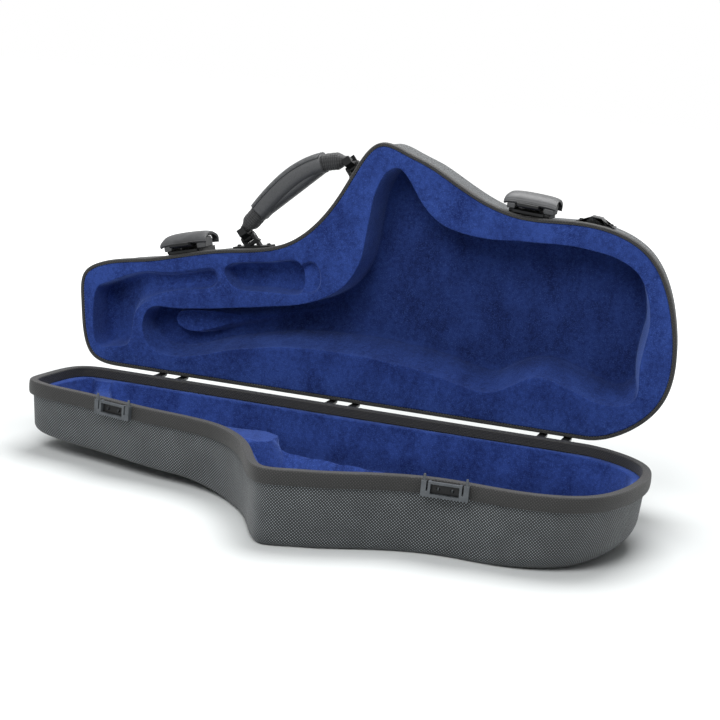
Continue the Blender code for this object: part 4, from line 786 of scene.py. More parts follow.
@dataclass(frozen=True)
class Finishes:
    """Every finish of the case."""

    cloth: Finish = WovenCloth("woven_polyester", Slot.CLOTH)
    tape: Finish = WovenCloth("woven_edge_tape", Slot.BAND, 1.5, "#494847", "#3d3c3b",
                              "#161615", "#090909")
    plush: Finish = Plush("short_pile_plush", Slot.PLUSH)
    hood: Finish = MouldedPlastic("satin_grey_nylon", Slot.GREY)
    catch: Finish = MouldedPlastic("catch_grey_nylon", Slot.GREY, "#44484c", "#54585c", 0.42)
    black: Finish = MouldedPlastic("black_nylon", Slot.BLACK, "#0e0f10", "#18191a", 0.40, 0.28)
    rivet: Finish = SheetSteel("blackened_rivet", Slot.ZINC, "#2c2e30", "#4a4c4e", 1.0, 0.35)
    steel: Finish = SheetSteel("black_painted_steel", Slot.STEEL)
    zinc: Finish = SheetSteel("zinc_plated_steel", Slot.ZINC, "#8f9193", "#b9bbbd", 1.0, 0.32)
    pebbled: Finish = GripLeather("pebbled_leather", Slot.LEATHER)
    smooth: Finish = GripLeather("smooth_leather", Slot.LEATHER, "#3f4042", "#4c4d4f", 0.8, 0.05)
    thread: Finish = SheetSteel("bonded_thread", Slot.LEATHER, "#2b2c2e", "#55575a", 0.0, 0.6)
    webbing: Finish = RibbedWebbing("ribbed_webbing", Slot.WEBBING)


FINISHES = Finishes()


def coat(item: Item, finish: Finish) -> None:
    """Gives an object a finish."""
    item.data.materials.clear()
    item.data.materials.append(finish.material())


def dress(item: Item, finish: Finish, body: str, *nodes: str) -> Item:
    """Gives a new piece its finish, its body and the nodes that it stands for."""
    coat(item, finish)
    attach(item, body)
    if nodes:
        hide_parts(*nodes)
    return item


def redress(finish: Finish, *names: str) -> None:
    """Gives kept nodes of the frame a new finish."""
    for name in names:
        coat(frame["nodes"][name], finish)


def polished(name: str, finish: Finish, body: str, width: float = 0.0004) -> None:
    """Puts a copy of a hard node with merged faces and rounded edges in the node's place.

    Args:
        name: the node.
        finish: its finish.
        body: the body it rides on.
        width: how far its edges are rounded.
    """
    item = link(f"{name}_rounded", merged(name, f"{name}_rounded"))
    rounded(item, width)
    dress(item, finish, body, name)


# Shells and rims

@dataclass(frozen=True)
class Shell:
    """The two moulded boards under woven cloth, and the bands round their edges.

    A board's wall is its profile carried round the outline: straight with a slight draft, then a
    quarter round whose radius grows towards both ends of the case, then a flat or raised floor.
    """

    base_wall: float = 0.0032
    lid_wall: float = 0.0024
    base_draft: float = 0.0035
    lid_draft: float = 0.0010
    edge_radius: float = 0.008
    neck_radius: float = 0.016
    bow_radius: float = 0.034
    neck_share: float = 0.10
    bow_share: float = 0.78
    neck_rise: float = 0.018
    knee_rise: float = 0.010
    knee_share: float = 0.308
    heel_share: float = 0.403
    bend_share: float = 0.012
    bend_steps: int = 7
    band_height: float = 0.015
    band_thickness: float = 0.0025
    band_bulge: float = 0.0012
    band_shares: tuple = ((0, 0), (0.55, 0.05), (0.85, 0.15), (1, 0.35), (1, 0.60),
                          (0.75, 0.82), (0.35, 0.95))
    band_foot_share: float = 0.3
    cap: float = 0.0025
    skirt: float = 0.0018
    skirt_height: float = 0.0102
    binding_height: float = 0.0095
    binding_thickness: float = 0.0016
    binding_bulge: float = 0.0006
    binding_face: float = 0.0032
    binding_lip: float = 0.0015
    edge_steps: int = 12
    wall_steps: int = 6
    floor_pitch: float = 0.012

    @property
    def base_face(self) -> float:
        """Inset of the base board from the outline."""
        return self.band_thickness + SIZE.clearance

    @property
    def lid_face(self) -> float:
        """Inset of the lid board from the outline."""
        return self.binding_thickness + SIZE.clearance

    def radius(self, x: Array) -> Array:
        """Radius of the outer edge at places along the case."""
        share = SIZE.share(x)
        neck = np.clip((self.neck_share - share) / self.neck_share, 0, 1)
        bow = ease((share - self.bow_share) / (1 - self.bow_share))
        return (self.edge_radius + (self.neck_radius - self.edge_radius) * neck
                + (self.bow_radius - self.edge_radius) * bow)

    def rise(self, x: Array) -> Array:
        """Rise of the underside towards the neck end: straight runs with eased bends."""
        share = SIZE.share(x)
        shifts = np.linspace(-self.bend_share, self.bend_share, self.bend_steps)
        runs = (0, self.knee_share, self.heel_share), (self.neck_rise, self.knee_rise, 0)
        return sum(np.interp(share + shift, *runs) for shift in shifts) / self.bend_steps

    def profile(self, face: float, depth: float, draft: float, start: float) -> tuple:
        """Insets and falls of a board's wall, row by row, at every point of the outline.

        Args:
            face: inset of the wall's edge.
            depth: depth of the board.
            draft: how far its straight part leans in.
            start: fall of the wall's edge.

        Returns:
            The insets and the falls, each with a row for each step down the wall.
        """
        radius = self.radius(OUTLINE[:, 0])
        straight = np.linspace(0, 1, self.wall_steps)[:, None]
        turn = np.linspace(0, math.pi / 2, self.edge_steps)[1:, None]
        inset = np.concatenate([face + draft * straight + 0 * radius,
                                face + draft + radius * (1 - np.cos(turn))])
        fall = np.concatenate([start + (depth - radius - start) * straight,
                               depth - radius * (1 - np.sin(turn))])
        return inset, fall

    def rows(self, inset: Array, height: Array) -> tuple[Array, Array]:
        """Points and cloth coordinates of a wall: length round the outline and distance down it."""
        ring, normals = (np.concatenate([line, line[:1]]) for line in (OUTLINE, NORMALS))
        inset, height = (np.column_stack([rows, rows[:, :1]]) for rows in (inset, height))
        plan = ring[None] - normals[None] * inset[..., None]
        points = np.concatenate([plan, height[..., None]], axis=2)
        steps = np.linalg.norm(np.diff(points, axis=0), axis=2)
        down = np.concatenate([np.zeros((1, len(ring))), np.cumsum(steps, axis=0)])
        return points, np.stack([np.broadcast_to(travelled(ring), down.shape), down], axis=2)

    def board(self, body: str, inset: Array, height: Array, closing: Callable[[Array], Array],
              turn: Matrix | None, thickness: float) -> None:
        """Makes one board from its wall and the floor or back that closes it.

        Args:
            body: base or lid.
            inset: insets of the wall's rows.
            height: heights of the wall's rows.
            closing: height of the floor or back at places along the case.
            turn: takes the shut lid to its rest, or None.
            thickness: the board's thickness.
        """
        lid = turn is not None
        surface = Surface(f"{body}_shell_cloth")
        points, places = self.rows(inset, height)
        surface.grid(points, places, flip=lid)
        plan, faces = triangles(points[-1, :-1, :2], self.floor_pitch)
        surface.add(np.column_stack([plan, closing(plan[:, 0])]), faces if lid else faces[:, ::-1],
                    plan)
        item = surface.sheet(UPWARDS if lid else -UPWARDS, turn, SHEET_WELD)
        wall(item, thickness)
        dress(item, FINISHES.cloth, body, f"{body}_shell")

    def base(self) -> None:
        """The base board, its floor lifted under the neck."""
        inset, fall = self.profile(self.base_face, SIZE.base_height, self.base_draft,
                                   self.cap + SIZE.clearance)
        height = SIZE.base_height - fall
        top = float(height[0, 0])
        plan_x = OUTLINE[None, :, 0] - NORMALS[None, :, 0] * inset
        height = height + self.rise(plan_x) * np.clip((top - height) / top, 0, 1)
        self.board("base", inset, height, self.rise, None, self.base_wall)

    def lid(self) -> None:
        """The lid board, with a flat back."""
        inset, fall = self.profile(self.lid_face, SIZE.lid_height, self.lid_draft,
                                   self.binding_lip + SIZE.clearance)
        back = SIZE.lid_base + SIZE.lid_height
        self.board("lid", inset, SIZE.lid_base + fall, lambda x: np.full(len(x), back), LID_TURN,
                   self.lid_wall)

    def rim(self, name: str, profile: list, turn: Matrix | None, width: float, body: str) -> None:
        """Makes a band from a closed profile carried round the outline.

        Args:
            name: the piece's name.
            profile: the profile's corners, each an offset outwards and a height.
            turn: takes the shut lid to its rest, or None.
            width: how far its edges are rounded.
            body: base or lid.
        """
        profile = np.array([*profile, profile[0]])
        surface = Surface(name)
        surface.grid(*self.rows(-np.repeat(profile[:, :1], len(OUTLINE), axis=1),
                                np.repeat(profile[:, 1:], len(OUTLINE), axis=1)))
        item = surface.make(turn)
        rounded(item, width)
        dress(item, FINISHES.tape, body, f"{body}_rim")

    def base_band(self) -> None:
        """The base's band: a bulged outer skirt, a flat top and an inner skirt."""
        top, thick = SIZE.base_height, self.band_thickness
        inner = self.base_face + self.base_wall + SIZE.clearance
        outer = [(self.band_bulge * out, top - self.band_height * down)
                 for out, down in self.band_shares]
        self.rim("base_band", [
            *outer, (-thick * self.band_foot_share, top - self.band_height),
            (-thick, top - self.band_height), (-thick, top - self.cap), (-inner, top - self.cap),
            (-inner, top - self.skirt_height), (-inner - self.skirt, top - self.skirt_height),
            (-inner - self.skirt, top - self.skirt / 2), (-inner - self.skirt / 2, top),
        ], None, 0.0005, "base")

    def lid_binding(self) -> None:
        """The lid's binding: an outer skirt and a narrow lip over the board's edge."""
        foot, thick, bulge = SIZE.lid_base, self.binding_thickness, self.binding_bulge
        lip, head = foot + self.binding_lip, foot + self.binding_height
        self.rim("lid_binding", [
            (-bulge / 2, foot), (-self.binding_face, foot), (-self.binding_face, lip),
            (-thick, lip), (-thick, head), (0, head), (bulge, foot + self.binding_height * 0.6),
            (bulge * 0.8, lip),
        ], LID_TURN, 0.0004, "lid")

    def build(self) -> None:
        """Makes both boards and both bands."""
        self.base()
        self.lid()
        self.base_band()
        self.lid_binding()


SHELL = Shell()


# Linings

def level(value: float) -> Callable[[Array], Array]:
    """A size that is the same at all plan points."""
    return lambda points: np.full(len(points), value)


@dataclass(frozen=True)
class Recess:
    """A hollow moulded into a lining: a rolled lip, a drafted wall and a rounded foot.

    Each side of the outline has its own wall: a quarter round over the lip, a straight slope whose
    width depends on which way the side faces, and a quarter ellipse at the foot. The fall at a
    point is the least of the falls of all walls.
    """

    shares: tuple
    depth: Callable[[Array], Array]
    rear: Callable[[Array], Array]
    lip: float = 0.0012
    front: float = 0.0016
    bow: float = 0.010
    neck: float = 0.0020
    foot: float = 0.006
    wander: float = 0.0004
    wander_width: float = 0.028
    steps: int = 24
    pitch: float = 0.0030

    def ring(self) -> Array:
        """The outline, counterclockwise, a little uneven as padding is."""
        ring = SIZE.ring(self.shares, self.steps, self.pitch)
        return ring + outward(ring) * (soft_noise(ring, self.wander_width, 3.1)
                                       * self.wander)[:, None]

    def slopes(self, ring: Array) -> Array:
        """Width in plan of the wall at each point of the ring, from the way it faces."""
        bowwards, rearwards = np.clip(outward(ring), 0, 1).T
        neckwards = np.clip(-outward(ring)[:, 0], 0, 1)
        return (self.front + (self.rear(ring) - self.front) * ease(rearwards * 1.2)
                + (self.bow - self.front) * bowwards**2 + (self.neck - self.front) * neckwards**2)

    def fall(self, points: Array, ring: Array) -> Array:
        """Fall below the lining's face at plan points."""
        inside = inside_distance(points, ring)
        depth, slopes = self.depth(points), self.slopes(ring)
        lip = np.minimum(self.lip, depth / 2)
        foot = np.minimum(self.foot, depth - lip)
        over = np.clip(inside + lip, 0, lip)
        falls = lip - np.sqrt(lip * lip - over * over)
        hollow = np.flatnonzero(inside > 0)
        widths = (slopes + np.roll(slopes, -1)) / 2
        for part in np.array_split(hollow, len(hollow) // ROWS_AT_ONCE + 1):
            away = side_distances(points[part], ring)
            whole, curve, top = depth[part, None], foot[part, None], lip[part, None]
            straight = top + (whole - curve - top) * np.clip(away / widths, 0, 1)
            left = 1 - np.clip((away - widths) / curve, 0, 1)
            low = whole - curve + curve * np.sqrt(1 - left * left)
            falls[part] = np.where(away < widths, straight, low).min(axis=1)
        return falls

    def lines(self, ring: Array) -> list:
        """Rings of points that follow the lip, the wall and the foot."""
        slopes = self.slopes(ring)
        return offset_rings(ring, [
            *(self.lip * (math.sin(angle) - 1) + 0 * slopes for angle in QUARTER),
            *(slopes * share for share in (0.2, 0.4, 0.6, 0.8, 1.0)),
            *(slopes + self.foot * (1 - math.cos(angle)) for angle in QUARTER[1:])])

    def clear(self, points: Array, ring: Array) -> Array:
        """Whether points lie off the lip, wall and foot, where the rings already serve."""
        inside = inside_distance(points, ring)
        return (inside < -self.lip - 0.001) | (inside > 0.002)


@dataclass(frozen=True)
class Lining:
    """Moulded foam under plush: one height over the plan, from the deepest of its recesses."""

    body: str
    face: float
    upwards: bool
    inset: float
    skirt: float
    recesses: tuple
    spacing: float = 0.0034
    thickness: float = 0.0012
    roll: float = 0.0014
    weld: float = 3e-5
    lumps: float = 0.0005
    lump_width: float = 0.030
    dimple_width: float = 0.011
    lump_depth: float = 0.010

    @property
    def name(self) -> str:
        """The piece's name."""
        return f"{self.body}_lining_plush"

    def extra(self, points: Array) -> Array:
        """Further forms: how far the surface stands up from the recesses' floor."""
        return np.zeros(len(points))

    def extra_lines(self) -> list:
        """Points along those forms' edges."""
        return []

    def fall(self, points: Array, rings: list) -> Array:
        """Fall below the face at plan points, with slight lumps in the padding."""
        deepest = np.max([recess.fall(points, ring)
                          for recess, ring in zip(self.recesses, rings)], axis=0)
        lumps = (soft_noise(points, self.lump_width, 7.7)
                 + 0.5 * soft_noise(points, self.dimple_width, 1.3))
        return (np.maximum(0, deepest - self.extra(points))
                + self.lumps * lumps * np.clip(deepest / self.lump_depth, 0.25, 1))

    def build(self) -> None:
        """Makes the lining: its face with all recesses, a rolled border and a skirt."""
        rings = [recess.ring() for recess in self.recesses]
        pairs = list(zip(self.recesses, rings))
        border = OUTLINE - NORMALS * self.inset
        edge = border - NORMALS * self.roll
        lines = [line for recess, ring in pairs for line in recess.lines(ring)]
        plan, faces = triangles(
            edge, self.spacing, lines + self.extra_lines(),
            lambda points: np.all([recess.clear(points, ring) for recess, ring in pairs], axis=0))
        sign = 1.0 if self.upwards else -1.0
        fall, edge_fall = self.fall(plan, rings), self.fall(edge, rings)
        surface = Surface(self.name)
        surface.add(np.column_stack([plan, self.face + sign * fall]),
                    faces[:, ::-1] if self.upwards else faces, np.column_stack([plan[:, 0], fall]))
        rows = []
        for angle in QUARTER:
            depth = edge_fall + self.roll * (1 - math.cos(angle))
            rows.append(np.column_stack([edge + NORMALS * self.roll * math.sin(angle),
                                         self.face + sign * depth]))
        rows.append(np.column_stack([border, np.full(len(border), self.face + sign * self.skirt)]))
        rows = np.concatenate([rows, np.array(rows)[:, :1]], axis=1)
        surface.grid(rows, np.stack([rows[..., 0], 0 * rows[..., 0]], axis=2), flip=self.upwards)
        item = surface.sheet(-sign * UPWARDS, LID_TURN if self.upwards else None, self.weld)
        wall(item, self.thickness)
        dress(item, FINISHES.plush, self.body, f"{self.body}_lining")


@dataclass(frozen=True)
class LidLining(Lining):
    """The lid's lining, with a cradle that stands on the floor at the neck end."""

    cradle_shares: tuple = (
        (0.166, 0.755), (0.200, 0.733), (0.300, 0.700), (0.400, 0.660), (0.425, 0.675),
        (0.365, 0.740), (0.280, 0.795), (0.215, 0.835), (0.172, 0.830), (0.160, 0.790),
    )
    cradle_heights: tuple = (0.014, 0.0042)
    cradle_edges: tuple = (0.003, 0.010)

    def cradle_ring(self) -> Array:
        """The cradle's foot, counterclockwise."""
        return SIZE.ring(self.cradle_shares, 12, 0.002)

    def cradle_slope(self, points: Array) -> Array:
        """Width in plan of the cradle's sides: steep at the neck end, easy towards the bow."""
        return between(points[:, 0], (0.19, 0.30), *self.cradle_edges)

    def extra(self, points: Array) -> Array:
        """The cradle: a low table with eased sides, lower towards the bow."""
        inside = inside_distance(points, self.cradle_ring())
        height = between(points[:, 0], (0.20, 0.40), *self.cradle_heights)
        return height * ease(inside / self.cradle_slope(points))

    def extra_lines(self) -> list:
        """Lines round the cradle's sides."""
        ring = self.cradle_ring()
        return offset_rings(ring, [self.cradle_slope(ring) * share
                                   for share in (0.0, 0.25, 0.5, 0.75, 1.0)])


@dataclass(frozen=True)
class BaseLining(Lining):
    """The base's lining, with the bell saddle and the ridge across the neck end."""

    saddle_shares: tuple = (0.415, 0.690)
    slope_shares: tuple = (0.36, 0.545, 0.60)
    saddle_height: float = 0.050
    saddle_ends: tuple = (0.012, 0.016)
    ridge_shares: tuple = ((0.075, 0.935), (0.150, 0.610))
    ridge_height: float = 0.056
    ridge_half: float = 0.0055
    ridge_side: float = 0.010
    floor: float = 0.0116

    def extra(self, points: Array) -> Array:
        """The wedge that carries the bell, steep behind, and the soft ridge at the neck end."""
        left, right = ((share - 0.5) * SIZE.length for share in self.saddle_shares)
        front, crest, rear = ((share - 0.5) * SIZE.width for share in self.slope_shares)
        x, y = points[:, 0], points[:, 1]
        low = SHELL.rise(x) + self.floor
        along = y + (crest - front) / 3 * np.clip((x - left) / (right - left), 0, 1)
        up = np.where(along < crest, ease((along - front) / (crest - front) * 0.5) * 2,
                      1 - ease((along - crest) / (rear - crest)))
        start, end = self.saddle_ends
        ends = ease((x - left + start) / start) * ease((right - x) / end)
        saddle = (self.saddle_height - low) * np.clip(up, 0, 1) * ends
        start, end = SIZE.plan(self.ridge_shares)
        run = end - start
        share = np.clip(((points - start) @ run) / (run @ run), 0, 1)
        off = np.linalg.norm(points - (start + share[:, None] * run), axis=1)
        ridge = (self.ridge_height - low) * (1 - ease((off - self.ridge_half) / self.ridge_side))
        return np.maximum(saddle, ridge)


def lid_lining() -> LidLining:
    """The lid's lining with the body, crook and mouthpiece recesses, outlined as in its solid."""
    body = Recess(
        (
            (0.118, 0.840), (0.129, 0.749), (0.169, 0.735), (0.272, 0.702), (0.369, 0.662),
            (0.438, 0.604), (0.480, 0.491), (0.494, 0.309), (0.508, 0.138), (0.532, 0.087),
            (0.560, 0.145), (0.594, 0.247), (0.662, 0.305), (0.772, 0.298), (0.883, 0.313),
            (0.935, 0.385), (0.955, 0.545), (0.948, 0.709), (0.946, 0.829), (0.885, 0.855),
            (0.795, 0.796), (0.720, 0.876), (0.637, 0.851), (0.508, 0.818), (0.398, 0.818),
            (0.277, 0.869), (0.154, 0.924),
        ),
        lambda points: (between(points[:, 0], (0.15, 0.46), 0.036, 0.054)
                        + 0.0018 * soft_noise(points, 0.055, 2.2)),
        lambda points: between(points[:, 0], (0.10, 0.60), 0.008, 0.014),
        lip=0.0009, front=0.0011, wander=0.0008)
    crook = Recess(
        (
            (0.028, 0.713), (0.043, 0.676), (0.108, 0.611), (0.165, 0.596), (0.223, 0.560),
            (0.243, 0.567), (0.249, 0.622), (0.182, 0.673), (0.129, 0.716), (0.102, 0.778),
            (0.094, 0.902), (0.062, 0.924), (0.037, 0.924),
        ),
        lambda points: between(points[:, 0], (0.040, 0.15), 0.036, 0.015),
        level(0.0030), bow=0.004, foot=0.012)
    pocket = Recess(
        (
            (0.257, 0.553), (0.283, 0.520), (0.334, 0.502), (0.382, 0.487), (0.394, 0.545),
            (0.391, 0.607), (0.338, 0.618), (0.277, 0.618),
        ),
        level(0.026), level(0.0026), bow=0.0026, foot=0.009)
    step = Recess(((0.388, 0.500), (0.412, 0.487), (0.420, 0.582), (0.388, 0.600)),
                  level(0.008), level(0.002), bow=0.0016, foot=0.003)
    return LidLining("lid", SIZE.lid_base + SIZE.clearance, True,
                     SHELL.binding_face + SIZE.clearance, 0.006, (body, crook, pocket, step))


def base_lining() -> BaseLining:
    """The base's lining with the tub that holds the instrument, outlined as in its solid."""
    face = SIZE.base_height - SHELL.skirt_height - SIZE.lining_clearance
    floor = SHELL.base_wall + SIZE.lining_clearance + 0.008
    tub = Recess(
        (
            (0.083, 0.945), (0.046, 0.924), (0.026, 0.771), (0.031, 0.665), (0.074, 0.625),
            (0.131, 0.604), (0.200, 0.593), (0.308, 0.582), (0.377, 0.575), (0.423, 0.585),
            (0.438, 0.549), (0.434, 0.473), (0.418, 0.444), (0.392, 0.440), (0.402, 0.396),
            (0.443, 0.305), (0.480, 0.153), (0.508, 0.080), (0.542, 0.087), (0.582, 0.120),
            (0.658, 0.211), (0.745, 0.265), (0.840, 0.262), (0.926, 0.335), (0.969, 0.545),
            (0.972, 0.764), (0.942, 0.873), (0.875, 0.945), (0.617, 0.945), (0.354, 0.945),
        ),
        lambda points: face - floor - SHELL.rise(points[:, 0]),
        lambda points: 0.007 + 0.016 * within(points, (0.372, 0.442), (0.36, 0.50)),
        lip=0.0020, front=0.0040, bow=0.012, neck=0.006, foot=0.012, wander=0.0006)
    return BaseLining("base", face, False,
                      SHELL.base_face + SHELL.base_wall + SIZE.lining_clearance, 0.008, (tub,))


# Latches and small hardware

def joint_frame(name: str, along: int, out: int) -> Matrix:
    """A frame at a joint at rest, square to its axis and to the lid's depth.

    Args:
        name: the joint.
        along: 1 if the frame's X runs along the joint's axis, -1 if against it.
        out: 1 if its Y is the lid's depth crossed with its X, -1 if the opposite.

    Returns:
        The frame, with its origin on the joint.
    """
    joint = next(joint for joint in frame["joints"] if joint["name"] == name)
    first = along * Vector(joint["axis"])
    depth = LID_TURN.to_3x3() @ UPWARDS
    turn = Matrix((first, out * depth.cross(first), out * depth)).transposed().to_4x4()
    return Matrix.Translation(joint["pos_m"]) @ turn


@dataclass(frozen=True)
class Latch:
    """The grey hood of one draw latch, with its knuckle and the ribs that hold the claw's pin.

    The hood's section is a spline from its lip over the top to the heel; its height falls off
    towards both ends, and the wall behind it is 2.4 mm thick.
    """

    side: str
    axis_out: float = 0.011
    axis_up: float = 0.035
    length: float = 0.054
    thickness: float = 0.0024
    heel: float = 0.0068
    knuckle: float = 0.032
    top: float = 0.0216
    lip_up: float = 0.004
    lip_out: float = 0.0114
    plate_face: float = 0.0034
    claw_out: float = 0.013
    claw_up: float = 0.022
    claw_radius: float = 0.0027
    claw_width: float = 0.022
    claw_clearance: float = 0.0004
    claw_bore: float = 0.00125
    bore: float = 0.0016
    rib: float = 0.0024
    ear: float = 0.003
    ear_clearance: float = 0.0008
    slot_foot: float = 0.0014
    slot_reach: float = 0.002
    hood_shares: tuple = ((0.00, 0.00), (0.02, 0.22), (0.11, 0.57), (0.29, 0.87), (0.52, 1.00),
                          (0.74, 0.96), (0.93, 0.76))
    end_shares: tuple = ((-1.00, 0.70), (-0.88, 0.86), (-0.60, 0.96), (0.00, 1.00), (0.60, 0.98),
                         (0.88, 0.93), (1.00, 0.87))
    cheek_shares: tuple = (("inner", -0.435, -0.272), ("outer", 0.272, 0.470))
    cheek_outline: tuple = (
        (-0.0036, 0.006), (-0.0092, 0.006), (-0.0128, 0.011), (-0.0150, 0.018),
        (-0.0150, 0.0245), (-0.0110, 0.0272), (-0.0036, 0.0272),
    )
    stop_outline: tuple = ((-0.0036, 0.0240), (-0.0100, 0.0240), (-0.0100, 0.0270),
                           (-0.0036, 0.0285))
    stop_half: float = 0.0108

    def place(self) -> Matrix:
        """The latch's frame at rest: X along the rim, Y into the case, Z up the lid's wall."""
        return (joint_frame(f"latch_{self.side}_lever_pivot", -1, 1)
                @ Matrix.Translation((0, self.axis_out, -self.axis_up)))

    def section(self) -> Array:
        """Outer curve of the hood in (out, up), from lip to heel."""
        points = [(self.lip_out + (self.top - self.lip_out) * high,
                   self.lip_up + (self.axis_up - self.lip_up) * along)
                  for along, high in self.hood_shares]
        points += [(self.axis_out + self.heel * math.cos(angle),
                    self.axis_up + self.heel * math.sin(angle))
                   for angle in np.radians((20, 60, 100, 130))]
        return spline(points, 5, (0.3, 0.6), (-0.4, -0.5))

    def shell(self, place: Matrix) -> Item:
        """The hood's curved wall."""
        fine = np.linspace(-1, 1, 33)
        heights = np.interp(fine, *spline(self.end_shares, 8, (1.0, 1.2), (1.0, -0.5)).T)
        out, up = self.section().T
        out = self.plate_face + (out - self.plate_face) * heights[:, None]
        surface = Surface(f"latch_{self.side}_hood")
        surface.grid(np.stack([np.broadcast_to(fine[:, None] * self.length / 2, out.shape), -out,
                               np.broadcast_to(up, out.shape)], axis=2))
        item = surface.sheet(Vector((0, -1, 0)), place)
        wall(item, self.thickness)
        applied(item)
        return item

    def hood(self, place: Matrix) -> Item:
        """The hood, joined to its knuckle and ribs and slotted for the ears."""
        item, half = self.shell(place), self.knuckle / 2
        (y, z), (claw_y, claw_z) = (-self.axis_out, self.axis_up), (-self.claw_out, self.claw_up)
        radius, barrel = self.claw_radius, self.claw_width / 2 + self.claw_clearance
        back, front = -self.top + self.thickness / 2, claw_y + radius
        rib = ((front, claw_z - radius), (front, claw_z + radius), (y, z),
               (back, claw_z + radius), (back, claw_z - radius * 1.5))
        foot, head = z + self.slot_foot, z + self.heel * 2
        far = -self.top - self.slot_reach
        slot = ((far, foot), (0, foot), (0, head), (far, head))
        tools = [rod("knuckle", self.heel - SIZE.clearance, (-half, y, z), (half, y, z), place)]
        cuts = [rod("bore", self.bore, (-self.length, y, z), (self.length, y, z), place),
                rod("claw_bore", self.claw_bore, (-half, claw_y, claw_z), (half, claw_y, claw_z),
                    place)]
        for sign in (-1, 1):
            start, end = sorted((sign * barrel, sign * (barrel + self.rib)))
            tools.append(prism("rib", rib, start, end, place))
            start, end = sorted((sign * half, sign * (half + self.ear + self.ear_clearance)))
            cuts.append(prism("ear_slot", slot, start, end, place))
        joined(item, tools, "UNION")
        joined(item, cuts, "DIFFERENCE")
        item.data.shade_smooth()
        item.data.set_sharp_from_angle(angle=SHARP)
        rounded(item, 0.0007, 3)
        return item

    def cheeks(self, place: Matrix) -> None:
        """The blocks of the plate's moulding under the hood's ends, and the stop between them."""
        for label, start, end in self.cheek_shares:
            item = prism(f"latch_{self.side}_cheek_{label}", self.cheek_outline,
                         start * self.length, end * self.length, place)
            rounded(item, 0.0012, 3)
            dress(item, FINISHES.hood, "lid")
        item = prism(f"latch_{self.side}_plate_stop", self.stop_outline, -self.stop_half,
                     self.stop_half, place)
        rounded(item, 0.0005)
        dress(item, FINISHES.black, "lid")

    def build(self) -> None:
        """Makes the hood and its cheeks and rounds the latch's other pieces."""
        latch, catch, place = f"latch_{self.side}", f"catch_{self.side}", self.place()
        self.cheeks(place)
        dress(self.hood(place), FINISHES.hood, f"lever_{self.side}", f"{latch}_lever")
        polished(f"{latch}_plate", FINISHES.black, "lid")
        polished(f"{latch}_claw", FINISHES.black, f"claw_{self.side}", 0.0003)
        polished(f"{catch}_frame", FINISHES.catch, "base")
        polished(f"{catch}_insert", FINISHES.black, "base", 0.0002)
        redress(FINISHES.zinc, f"{latch}_lever_pin", f"{latch}_claw_pin")
        redress(FINISHES.rivet, f"{catch}_rivet_a", f"{catch}_rivet_b")


@dataclass(frozen=True)
class Hinges:
    """The three painted hinges on the rear edge."""

    names: tuple = ("left", "middle", "right")

    def build(self) -> None:
        """Rounds the leaves and plates the pins."""
        for name in self.names:
            for body in ("base", "lid"):
                polished(f"hinge_{name}_{body}_leaf", FINISHES.steel, body, 0.0003)
            redress(FINISHES.zinc, f"hinge_{name}_pin")


# Handle

